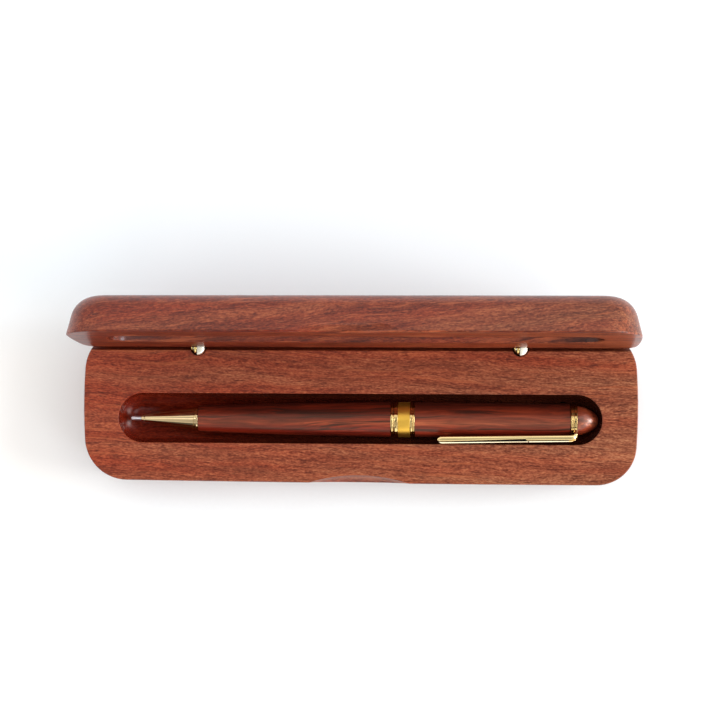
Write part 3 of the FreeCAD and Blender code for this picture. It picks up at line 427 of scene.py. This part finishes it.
def metal(name, colour, rough, streak=(0.0, 0.0, 0.0), brushed=0.0, shade=0.94):
    """Plated or bare metal: soft tarnish, fine rubbing marks and uneven polish."""
    s = Surface(name)
    co = s.place()
    cloud = s.noise(co, 0.35, 3.0, 0.55)
    x, y, z = s.split(co)
    rub = s.noise(s.join(s.math("MULTIPLY", x, 9.0), s.math("MULTIPLY", y, 1.3), s.math("MULTIPLY", z, 1.3)), 1.0, 3.0, 0.6)
    worn = tuple(c * shade for c in colour)
    tone = s.math("ADD", s.math("MULTIPLY", cloud, 0.9), s.math("MULTIPLY", rub, 0.1))
    s.set("Base Color", s.ramp(tone, [(0.30, worn), (0.65, colour)]))
    s.set("Metallic", 1.0)
    s.set("Roughness", s.math("ADD", s.math("MULTIPLY", rub, 0.02 + brushed), rough))
    if brushed:
        s.bump(rub, brushed, 0.00001)
    return s.mat


def plastic(name, colour, shine=0.5):
    s = Surface(name)
    co = s.place()
    speck = s.noise(co, 6.0, 4.0, 0.6)
    s.set("Base Color", s.ramp(speck, [(0.3, tuple(c * 0.7 for c in colour)), (0.7, colour)]))
    s.set("Roughness", s.math("ADD", s.math("MULTIPLY", speck, 0.2), 0.4))
    s.set("Specular IOR Level", shine)
    s.bump(speck, 0.1, 0.00003)
    return s.mat


BASE_WOOD = case_wood("case_base_wood", -3.0, 3.0, False)
LID_WOOD = case_wood("case_lid_wood", 7.0, 11.0, True)
LOWER_WOOD = pen_wood("pen_lower_wood", 21.0, (1.72, 1.20, 0.95), 0.08, 0.86)
UPPER_WOOD = pen_wood("pen_upper_wood", 33.0, (1.85, 1.65, 1.4), 0.08, 0.86)
FINIAL_WOOD = pen_wood("pen_finial_wood", 52.0, (2.5, 2.75, 2.2), 1.0, 0.40)
GOLD = metal("gold_plate_polished", (0.70, 0.50, 0.21), 0.06)
CLIP_GOLD = metal("gold_plate_clip", (0.98, 0.76, 0.37), 0.07)
CONE_GOLD = metal("gold_plate_cone", (0.68, 0.51, 0.28), 0.07)
SATIN = metal("gold_satin", (0.92, 0.55, 0.085), 0.36, brushed=0.08)
# a near-white copy of the hinge brass: a painted highlight for the domed leaf ends, lit from the window on the right
PAINTED_HIGHLIGHT_BRASS = metal("hinge_brass_painted_highlight", (0.99, 0.95, 0.80), 0.24)
LEAF = metal("hinge_brass_leaf", (0.90, 0.68, 0.27), 0.20)
STEEL = metal("point_steel_polished", (0.86, 0.86, 0.89), 0.34)
BARREL = metal("hinge_barrel_dull", (0.085, 0.034, 0.020), 0.50, shade=0.6)
BARREL_WOOD_BROWN = plastic("hinge_barrel_wood_brown", (0.110, 0.024, 0.012), 0.04)
# a paler, near-white copy of the clip's gold: a painted highlight for the rolled front edge
PAINTED_HIGHLIGHT_GOLD = metal("gold_plate_rolled_edge_painted_highlight", (0.98, 0.88, 0.62), 0.10)
# near-black, not metal: painted shade for the clip's crease and for the gaps between hinge leaves
CREASE_PAINTED_SHADE = plastic("gold_plate_crease_painted_shade", (0.020, 0.012, 0.006), 0.10)
WORKS = metal("works_brass_plain", (0.72, 0.52, 0.22), 0.26, shade=0.75)
BLACK = plastic("works_plastic_black", (0.035, 0.035, 0.040))

# ---------------------------------------------------- CAD nodes that stay
FINISH = {"case_wood": BASE_WOOD, "pen_wood": UPPER_WOOD, "hinge_brass": PAINTED_HIGHLIGHT_BRASS, "gold_plate": GOLD,
          "satin_gold": SATIN, "point_steel": STEEL, "works_brass": WORKS, "works_plastic": BLACK}
SLOT_OF = {p["node"]: p["material_slot"] for p in frame["record"]["subparts"]}
for node_name, node in nodes.items():
    chosen = FINISH[SLOT_OF[node_name]]
    if node_name == "case_lid":
        chosen = LID_WOOD
    # the hinge barrels are coloured dark: the base's a near-black brown metal, the lid's a flat wood brown
    elif node_name.endswith("_barrel") and "_hinge_" in node_name:
        chosen = BARREL_WOOD_BROWN if "_lid_" in node_name else BARREL
    node.data.materials.clear()
    node.data.materials.append(chosen)

# ------------------------------------------------------ turned pen pieces
lower = through([(20.75, 3.85), (40.0, 4.48), (60.0, 4.94), (78.45, 5.18)], 48)
path = [(20.75, 3.36)] + [(20.75, 3.80), (20.80, 3.851)] + lower[1:-1] + [(78.40, 5.179), (78.45, 5.13), (78.45, 3.36)]
make("lower_barrel_turned", *lathe(path), LOWER_WOOD, "pen_lower", "pen_wood", ["lower_barrel"])

upper = through([(85.7, 5.2), (110.0, 5.06), (131.7, 4.8)], 40)
path = [(85.7, 4.21), (85.7, 5.15), (85.75, 5.2)] + upper[1:-1] + [(131.65, 4.8), (131.7, 4.75), (131.7, 4.21)]
make("upper_barrel_turned", *lathe(path), UPPER_WOOD, "pen_upper", "pen_wood", ["upper_barrel"])

path = rounded([
    (3.25, 0.72), (3.25, 0.90, 0.10), (4.1, 1.07, 0.1), (4.18, 1.02), (4.34, 1.03), (4.42, 1.13, 0.05),
    (19.35, 3.505), (19.42, 3.44), (19.56, 3.46), (19.63, 3.55), (20.05, 3.60), (20.1, 3.70, 0.04),
    (20.16, 3.80, 0.08), (20.62, 3.80, 0.12), (20.7, 3.6, 0.05),
    (20.7, 3.04), (30.0, 3.04), (30.0, 1.75), (13.1, 1.75), (13.1, 1.35), (8.9, 1.35), (8.9, 0.72)])
make("nib_cone_turned", *lathe(path), CONE_GOLD, "pen_lower", "gold_plate", ["nib_cone"])

path = rounded([
    (0.30, 0.36), (0.30, 0.43, 0.03), (1.1, 0.56, 0.2), (2.1, 0.62, 0.2), (9.3, 0.62), (9.3, 1.15), (13.4, 1.15),
    (13.4, 1.19), (17.0, 1.19), (17.0, 0.3), (0.74, 0.3), (0.74, 0.36)])
make("refill_tip_turned", *lathe(path, 72), STEEL, "refill", "point_steel", ["refill_tip"])


def banded(name, radius, bands, bore, material, slot, node):
    """A polished ring of bands (front, back, rise, crown): a plain band, or a rounded bead of that crown."""
    path = [(bands[0][0], bore)]
    for front, back, rise, crown in bands:
        top = radius + rise
        if crown:
            mid, half = (front + back) / 2, (back - front) / 2
            path += [(mid - half * math.cos(math.radians(t)), top - crown + crown * math.sin(math.radians(t)))
                     for t in range(0, 181, 15)]
        else:
            path += [(front, top - 0.10), (front + 0.02, top - 0.03), (front + 0.06, top),
                     ((front + back) / 2, top + 0.006), (back - 0.06, top), (back - 0.02, top - 0.03), (back, top - 0.10)]
    path.append((bands[-1][1], bore))
    return make(name, *lathe(path), material, "pen_upper", slot, [node])


banded("band_front_ring_turned", 5.27, [(78.50, 79.34, 0.03, 0.22), (79.42, 80.70, 0.04, 0.0)],
       4.21, GOLD, "gold_plate", "band_front_ring")
banded("band_rear_ring_turned", 5.24, [(84.25, 85.08, 0.04, 0.0), (85.16, 85.65, 0.02, 0.18)],
       4.21, GOLD, "gold_plate", "band_rear_ring")
path = rounded([(80.72, 4.21), (80.72, 5.26, 0.05), (84.23, 5.26, 0.05), (84.23, 4.21)])
make("band_sleeve_turned", *lathe(path), SATIN, "pen_upper", "satin_gold", ["band_sleeve"])

path = rounded([
    (131.75, 2.02), (131.75, 4.80, 0.08), (131.95, 5.00, 0.12), (132.22, 5.00, 0.08), (132.28, 4.86, 0.03),
    (132.36, 4.86, 0.03), (132.42, 4.95, 0.06), (132.68, 4.95, 0.08), (132.75, 4.80, 0.05), (132.75, 2.02)])
make("trim_ring_turned", *lathe(path), GOLD, "pen_upper", "gold_plate", ["trim_ring"])

# finial: a bowed side that runs into a round nose
side = []
a, b, bow = Vector((133.75, 4.4)), Vector((138.75, 2.45)), 9.5
chord = b - a
rise = math.sqrt(bow * bow - chord.length_squared / 4)
centre = (a + b) / 2 - Vector((-chord.y, chord.x)).normalized() * rise
if centre.y > a.y:
    centre = (a + b) / 2 + Vector((-chord.y, chord.x)).normalized() * rise
t0 = math.atan2(a.y - centre.y, a.x - centre.x)
t1 = math.atan2(b.y - centre.y, b.x - centre.x)
for k in range(25):
    t = t0 + (t1 - t0) * k / 24
    side.append((centre.x + bow * math.cos(t), centre.y + bow * math.sin(t)))
nose = 140.0 - 138.75
nose_r = (nose * nose + 2.45 * 2.45) / (2 * nose)
n0 = math.asin(2.45 / nose_r)
for k in range(1, 15):
    t = n0 * (1 - k / 15.0)
    side.append((140.0 - nose_r + nose_r * math.cos(t), nose_r * math.sin(t)))
path = [(133.75, 2.02), (133.75, 4.32)] + [(133.80, 4.385)] + side[1:] + [(140.0, 0.0), (136.4, 0.0), (136.4, 2.02)]
make("finial_turned", *lathe(path), FINIAL_WOOD, "pen_upper", "pen_wood", ["finial"])


# ----------------------------------------------------------- barrel hinges
def layered(layers):
    """Vertices and faces of a solid given as equal loops of (x, y, z) in millimetres."""
    vs, fs, count = [], [], len(layers[0])
    for loop in layers:
        vs += [(MM * x, MM * y, MM * z) for x, y, z in loop]
    for i in range(len(layers) - 1):
        for k in range(count):
            m = (k + 1) % count
            fs.append((i * count + k, i * count + m, (i + 1) * count + m, (i + 1) * count + k))
    fs.append(tuple(range(count)))
    fs.append(tuple((len(layers) - 1) * count + k for k in range(count)))
    return vs, fs


def leaf_loop(x, half, top, low, inset, turn):
    """Round-topped leaf outline on the pin, at x along it; turn swings it over to the lid."""
    pts = []
    for k in range(25):
        t = math.pi * k / 24
        pts.append(((half - inset) * math.cos(t), (top - inset) * math.sin(t)))
    pts += [(-(min(half, 1.38) - inset), -0.4), (-(min(half, 1.38) - inset), low), ((min(half, 1.38) - inset), low),
            ((min(half, 1.38) - inset), -0.4)]
    c, n = math.cos(turn), math.sin(turn)
    return [(x, HINGE_Y + y * c - z * n, HINGE_Z + y * n + z * c) for y, z in pts]


def leaf(x0, x1, half_at, top, turn, ease):
    layers = []
    for x, inset in ((x0, ease), (x0 + 0.3 * ease, 0.3 * ease), (x0 + ease, 0.0), ((x0 + x1) / 2, 0.0),
                     (x1 - ease, 0.0), (x1 - 0.3 * ease, 0.3 * ease), (x1, ease)):
        layers.append((x, half_at(x), top, -6.2, inset, turn))
    return layers


for side_name, hx in (("left", -48.0), ("right", 48.0)):
    plan = lambda x: min(1.65, math.sqrt(max(0.05, 2.05 ** 2 - x * x)))
    thin = [leaf_loop(hx + x, *rest) for x, *rest in leaf(-1.90, -1.56, plan, 1.65, 0.0, 0.08)]
    # the thick leaf ends in a low half dome above the barrel
    cy, reach = HINGE_Y - 0.2, 2.15
    loops = []
    for k in range(-2, 15):
        x = reach * math.sin(math.radians(88.0) * max(k, 0) / 14.0)
        wide = math.sqrt(reach * reach - x * x) - (0.10 if k == -2 else 0.0)
        drop = 0.10 if k == -2 else 0.0
        at = {-2: -0.24, -1: -0.16}.get(k, x)
        loop = []
        for t in range(25):
            y = wide * math.cos(math.pi * t / 24)
            rho = math.sqrt(max(x, 0.0) ** 2 + y * y) / reach
            loop.append((hx + at, cy + y, HINGE_Z + 1.66 - 0.24 * (at + 0.24) - 0.26 * rho * rho - 0.75 * max(0.0, (rho - 0.80) / 0.20) ** 2.2 - drop))
        loop += [(hx + at, cy - wide, HINGE_Z - 2.95), (hx + at, cy + wide, HINGE_Z - 2.95)]
        loops.append(loop)
    stem = [[(hx + x, HINGE_Y + y, HINGE_Z + z) for y, z in ((-1.38, -6.2), (1.38, -6.2), (1.38, -2.9), (-1.38, -2.9))]
            for x in (-0.22, 1.76)]
    vs, fs = layered(thin)
    for more_v, more_f in (layered(loops), layered(stem)):
        fs += [tuple(len(vs) + i for i in f) for f in more_f]
        vs += more_v
    # the dome and stem get the near-white painted highlight brass
    pair = make(side_name + "_hinge_base_leaves_turned", vs, fs, PAINTED_HIGHLIGHT_BRASS, "base", "hinge_brass",
                [side_name + "_hinge_base_leaves"], 45.0)
    pair.data.materials.append(LEAF)
    pair.data.materials.append(CREASE_PAINTED_SHADE)
    # faces across the gaps between leaves get painted shade; the thin leaf gets the gold leaf brass
    for face in pair.data.polygons:
        thin_leaf = face.center.x < MM * (hx - 1.2)
        if face.normal.x > 0.8 if thin_leaf else face.normal.x < -0.8:
            face.material_index = 2
        elif thin_leaf:
            face.material_index = 1
    mid = [leaf_loop(hx + x, *rest) for x, *rest in leaf(-1.16, -0.40, lambda x: 1.65, 1.75, math.pi - LID_ANGLE, 0.10)]
    middle = make(side_name + "_hinge_lid_leaf_turned", *layered(mid), LEAF, "lid", "hinge_brass",
                  [side_name + "_hinge_lid_leaf"], 45.0)
    middle.data.materials.append(CREASE_PAINTED_SHADE)
    # the lid leaf's faces across the gaps get painted shade
    for face in middle.data.polygons:
        face.material_index = 1 if abs(face.normal.x) > 0.8 else 0


# --------------------------------------------------------------- pen clip
def clip_point(s, u, r):
    """Station, distance to the front across the clip, and distance out from the pen's axis."""
    y = PEN_Y - r * math.sin(CLIP_ANGLE) - u * math.cos(CLIP_ANGLE)
    z = PEN_Z + r * math.cos(CLIP_ANGLE) - u * math.sin(CLIP_ANGLE)
    return (MM * (s + PEN_X), MM * y, MM * z)


# rolled edge of the arm: a sloping flat between two small rounds
ROLL = [(0.80, -0.30), (0.80, 0.05), (0.78, 0.35), (0.72, 0.55), (0.64, 0.66), (0.52, 0.71), (0.36, 0.63),
        (0.10, 0.45), (-0.22, 0.22), (-0.54, -0.01), (-0.74, -0.18), (-0.89, -0.42), (-0.97, -0.70)]


def clip_section(bead, crease, shy=0.0):
    """Section of the arm, as distances (to the back, up) from the pen's axis: raised rims, a dished
    sloping face, a crease and a rolled front edge."""
    pts = [(-4.74, 4.72), (-4.70, 5.05), (-4.72, 5.26), (-4.79, 5.40), (-4.91, 5.49), (-5.02, 5.50), (-5.10, 5.46),
           (-5.17, 5.385), (-5.44, 5.325), (-5.80, 5.265), (-5.93, 5.275), (-6.02, 5.31), (-6.11, 5.30),
           (-6.19, 5.20), (-6.23, 5.02), (-6.24, crease + 0.06)]
    pts = pts[:6] + [(-5.02 + (y + 5.02) * (1 - shy / 1.22), z) for y, z in pts[6:]]
    pts += [(-6.35, crease), (-6.44, crease + 0.05)]
    c_y, c_z, radius = bead
    pts += [(c_y + radius * a, c_z + radius * b) for a, b in ROLL]
    pts += [(c_y - radius + 0.02, c_z - 0.30), (c_y - radius + 0.12, crease - 0.22), (c_y + 0.10, crease - 0.28),
            (-6.20, crease - 0.26), (-5.60, crease - 0.08), (-5.05, min(4.72, crease + 0.45))]
    return pts


sections = []
FULL, SLIM = clip_section((-6.68, 4.36, 0.33), 3.98), clip_section((-6.60, 4.62, 0.24), 4.58)
OPEN = clip_section((-6.68, 4.36, 0.33), 3.90, 0.44)
KNOB = clip_section((-6.66, 4.38, 0.36), 4.30)


def blend_section(a, b, t):
    return [((1 - t) * p[0] + t * q[0], (1 - t) * p[1] + t * q[1]) for p, q in zip(a, b)]


def lean(s, pts):
    """The arm lies closer to the barrel towards its ear."""
    t = max(0.0, (s - 94.0) / 39.0)
    return [(y + 0.62 * t, z - 0.42 * t) for y, z in pts]


tip, round_end = 92.45, 1.48
for k in range(9):
    s = tip + round_end * (1 - math.cos(math.radians(90 * k / 8.0)))
    w = max(0.10, math.sqrt(max(0.0, 1 - ((round_end - (s - tip)) / round_end) ** 2)))
    flat = 0.35 + 0.65 * w
    sections.append((s, [(-5.80 + (y + 5.80) * w, 4.85 + (z - 4.85) * flat)
                         for y, z in FULL]))
for s in (94.6, 96.0, 99.0, 103.0, 107.0, 111.0, 115.0, 117.6, 118.5):
    sections.append((s, lean(s, blend_section(FULL, OPEN, max(0.0, (s - 96.0) / 22.5)))))
sections += [(118.8, lean(118.8, blend_section(FULL, KNOB, 0.7))), (119.1, lean(119.1, KNOB)), (119.32, lean(119.3, KNOB)),
             (119.42, lean(119.4, blend_section(KNOB, SLIM, 0.85))), (119.55, lean(119.5, SLIM))]
for s in (122.0, 126.0, 129.5, 131.2, 132.0):
    sections.append((s, lean(s, SLIM)))
# the arm bends down into the ear
for k in range(1, 8):
    t = math.radians(90 * k / 7.0)
    sunk = 1.15 * (1 - math.cos(t))
    sections.append((132.0 + 1.45 * math.sin(t), [
        (y + sunk * math.sin(CLIP_ANGLE), z - sunk * math.cos(CLIP_ANGLE)) for y, z in lean(132.5, SLIM)]))

verts, faces = [], []
for s, pts in sections:
    verts += [(MM * (min(s, 133.68) + PEN_X), MM * (PEN_Y + y), MM * (PEN_Z + z)) for y, z in pts]
n = len(FULL)
for i in range(len(sections) - 1):
    for k in range(n):
        m = (k + 1) % n
        faces.append((i * n + k, i * n + m, (i + 1) * n + m, (i + 1) * n + k))
faces.append(tuple(range(n)))
faces.append(tuple((len(sections) - 1) * n + k for k in range(n)))
clip = make("clip_arm_formed", verts, faces, CLIP_GOLD, "pen_upper", "gold_plate", ["clip"], 50.0)
clip.data.materials.append(PAINTED_HIGHLIGHT_GOLD)
clip.data.materials.append(CREASE_PAINTED_SHADE)
for face in clip.data.polygons:
    marks = [v % n for v in face.vertices]
    if len(face.vertices) == 4 and face.vertices[0] // n < len(sections) - 9:
        # the crease gets painted shade
        if min(marks) >= 14 and max(marks) <= 18:
            face.material_index = 2
        # the rolled front edge gets the painted highlight gold
        elif min(marks) >= 18 and max(marks) <= 28:
            face.material_index = 1


def plate(name, outline, front, back, ease):
    """A plate square to the pen's axis, with eased edges, from an outline of (u, r)."""
    loops = [(front, -ease), (front + ease, 0.0), (back - ease, 0.0), (back, -ease)]
    count = len(outline)
    cu = sum(p[0] for p in outline) / count
    cr = sum(p[1] for p in outline) / count
    vs, fs = [], []
    for s, grow in loops:
        for u, r in outline:
            d = Vector((u - cu, r - cr))
            d = d * (1 + grow / d.length)
            vs.append(clip_point(s, cu + d.x, cr + d.y))
    for i in range(len(loops) - 1):
        for k in range(count):
            m = (k + 1) % count
            fs.append((i * count + k, i * count + m, (i + 1) * count + m, (i + 1) * count + k))
    fs.append(tuple(range(count)))
    fs.append(tuple((len(loops) - 1) * count + k for k in range(count)))
    return make(name, vs, fs, CLIP_GOLD, "pen_upper", "gold_plate", (), 50.0)


ear = rounded([(-1.30, 4.3), (-1.15, 6.35, 0.5), (1.15, 6.75, 0.5), (1.30, 4.3)])
plate("clip_ear_formed", ear, 132.82, 133.70, 0.14)
path = rounded([(132.8, 2.02), (132.8, 4.86, 0.10), (133.7, 4.86, 0.10), (133.7, 2.02)])
make("clip_ring_turned", *lathe(path), GOLD, "pen_upper", "gold_plate")

# foot under the arm's tip that bears on the barrel
foot = []
fv, ff = [], []
rows = 9
for i in range(rows):
    u = 0.80 + 0.60 * i / (rows - 1)
    squeeze = math.sqrt(max(0.10, 1 - ((u - 1.10) / 0.34) ** 2))
    ring = []
    for k in range(20):
        t = 2 * math.pi * k / 20
        ring.append(clip_point(95.2 + 0.9 * squeeze * math.cos(t) * 1.15, u,
                               6.05 + (1.05 if math.sin(t) > 0 else 1.02 * squeeze) * math.sin(t)))
    fv += ring
for i in range(rows - 1):
    for k in range(20):
        m = (k + 1) % 20
        ff.append((i * 20 + k, i * 20 + m, (i + 1) * 20 + m, (i + 1) * 20 + k))
ff.append(tuple(range(20)))
ff.append(tuple((rows - 1) * 20 + k for k in range(20)))
make("clip_foot_formed", fv, ff, GOLD, "pen_upper", "gold_plate", (), 60.0)

# ------------------------------------------------------------------- stage
floor_mesh = bpy.data.meshes.new("floor")
floor_mesh.from_pydata([(-2.5, -2.5, -0.0002), (2.5, -2.5, -0.0002), (2.5, 2.5, -0.0002), (-2.5, 2.5, -0.0002)],
                       [], [(0, 1, 2, 3)])
floor = bpy.data.objects.new("floor", floor_mesh)
scene.collection.objects.link(floor)
s = Surface("floor_paper")
tooth = s.noise(s.place(), 0.8, 3.0, 0.6)
paper = s.ramp(tooth, [(0.3, (0.900, 0.938, 0.948)), (0.7, (0.913, 0.951, 0.961))])
fx, fy, fz = s.split(s.place())
# painted light on the floor: a warm painted shade left of the case, a cool painted shade behind the lid, and the right
# side painted darker against the window's light
paper = s.mix(s.math("MULTIPLY", s.step(fx, -60.0, -110.0), s.step(fx, -240.0, -120.0)), paper, (0.960, 0.935, 0.895))
paper = s.mix(s.step(fy, 10.0, 45.0), paper, (0.893, 0.940, 0.965))
paper = s.mix(s.step(fx, 80.0, 150.0), paper, (0.875, 0.915, 0.925))
s.set("Base Color", paper)
s.set("Roughness", s.math("ADD", s.math("MULTIPLY", tooth, 0.1), 0.7))
s.set("Specular IOR Level", 0.2)
floor_mesh.materials.append(s.mat)

# ------------------------------------------------------------------- light
world = bpy.data.worlds.new("studio")
scene.world = world
s = Surface("studio", world)
way = s.node("ShaderNodeTexCoord").outputs["Generated"]
wx, wy, wz = s.split(way)
sky = s.ramp(wz, [(0.0, (0.52, 0.52, 0.53)), (0.15, (0.70, 0.70, 0.71)), (0.30, (0.88, 0.88, 0.88)),
                  (0.55, (1.0, 1.0, 1.0)), (1.0, (1.0, 1.0, 1.0))])
# dimmer low down in front, where the viewer stands, and cooler behind
front = s.math("MULTIPLY", s.step(wy, -0.15, -0.85), s.step(wz, 0.80, 0.30))
sky = s.mix(s.math("MULTIPLY", front, 0.16), sky, (0.0, 0.0, 0.0))
sky = s.mix(s.step(wy, 0.2, 0.9), sky, s.mix(1.0, sky, (0.97, 1.0, 1.05), "MULTIPLY"))


def spot(sky, at_x, at_y, half_x, half_y, amount):
    """A darker spot of the surroundings overhead."""
    near = s.math("MULTIPLY", s.step(s.math("ABSOLUTE", s.math("SUBTRACT", wx, at_x)), half_x, 0.6 * half_x),
                  s.step(s.math("ABSOLUTE", s.math("SUBTRACT", wy, at_y)), half_y, 0.6 * half_y))
    near = s.math("MULTIPLY", near, s.step(wz, 0.2, 0.4))
    return s.mix(s.math("MULTIPLY", near, amount), sky, (0.0, 0.0, 0.0))


band = s.math("MULTIPLY", s.step(wy, 0.36, 0.20), s.step(wy, -0.70, -0.54))
band = s.math("MULTIPLY", band, s.step(s.math("ABSOLUTE", wx), 0.62, 0.42))
sky = s.mix(s.math("MULTIPLY", s.math("MULTIPLY", band, s.step(wz, 0.2, 0.5)), 0.48), sky, (0.0, 0.0, 0.0))
sky = spot(sky, -0.03, -0.11, 0.20, 0.10, 0.90)
sky = spot(sky, -0.03, -0.73, 0.20, 0.09, 0.90)
# a low bright window in front
low = s.math("MULTIPLY", s.step(wy, -0.82, -0.88), s.math("MULTIPLY", s.step(wx, 0.50, 0.34), s.step(wx, -0.30, -0.20)))
low = s.math("MULTIPLY", low, s.step(wz, 0.10, 0.18))
sky = s.mix(low, sky, (1.55, 1.53, 1.48))
# dark beside it on the left
dark = s.math("MULTIPLY", s.step(wy, -0.64, -0.72), s.math("MULTIPLY", s.step(wx, -0.26, -0.32), s.step(wx, -0.66, -0.56)))
sky = s.mix(s.math("MULTIPLY", dark, 0.88), sky, (0.0, 0.0, 0.0))
# a narrow bright strip high on the left
strip = s.math("MULTIPLY", s.step(s.math("ABSOLUTE", s.math("ADD", wy, 0.03)), 0.11, 0.05),
               s.math("MULTIPLY", s.step(wx, -0.38, -0.42), s.step(wx, -0.58, -0.53)))
sky = s.mix(s.math("MULTIPLY", strip, s.step(wz, 0.2, 0.4)), sky, (1.55, 1.57, 1.62))
# a bright panel overhead, a little to the left
panel = Vector((-0.33, 0.05, 1.0)).normalized()
near = s.step(s.vector("DOT_PRODUCT", way, tuple(panel)), math.cos(math.radians(8.0)), math.cos(math.radians(3.5)))
sky = s.mix(near, sky, (2.4, 2.45, 2.5))
# and a smaller one in front, to the right
pane = Vector((0.70, -0.46, 0.55)).normalized()
near = s.step(s.vector("DOT_PRODUCT", way, tuple(pane)), math.cos(math.radians(10.0)), math.cos(math.radians(6.0)))
sky = s.mix(near, sky, (4.6, 4.6, 5.0))
s.set("Color", sky)
s.set("Strength", 1.22)


def area(name, place, aim, size, size_y, power, colour):
    data = bpy.data.lights.new(name, "AREA")
    data.shape = "RECTANGLE"
    data.size, data.size_y = size, size_y
    data.energy = power
    data.color = colour
    lamp = bpy.data.objects.new(name, data)
    scene.collection.objects.link(lamp)
    lamp.location = place
    lamp.rotation_euler = (Vector(aim) - Vector(place)).to_track_quat("-Z", "Y").to_euler()
    return lamp


area("window", (1.05, 0.0, 0.50), (0.0, 0.0, 0.02), 0.52, 0.48, 10.0, (1.0, 0.985, 0.97))

# ------------------------------------------------------------------ camera
scene.view_settings.view_transform = "Standard"


def rot(axis, degrees):
    return Matrix.Rotation(math.radians(degrees), 4, axis)


cam_data = bpy.data.cameras.new("camera")
cam_data.sensor_width = 36.0
cam_data.lens = 2146.3 * 36.0 / 720.0
cam = bpy.data.objects.new("camera", cam_data)
scene.collection.objects.link(cam)
eye = Vector((0.04561, 0.01341, 0.63554 + 0.017))
turn = rot("Z", -0.219) @ rot("Y", -4.070) @ rot("X", -0.036)
cam.matrix_world = Matrix.Translation(eye) @ turn.inverted()
scene.camera = cam

bpy.context.view_layer.update()
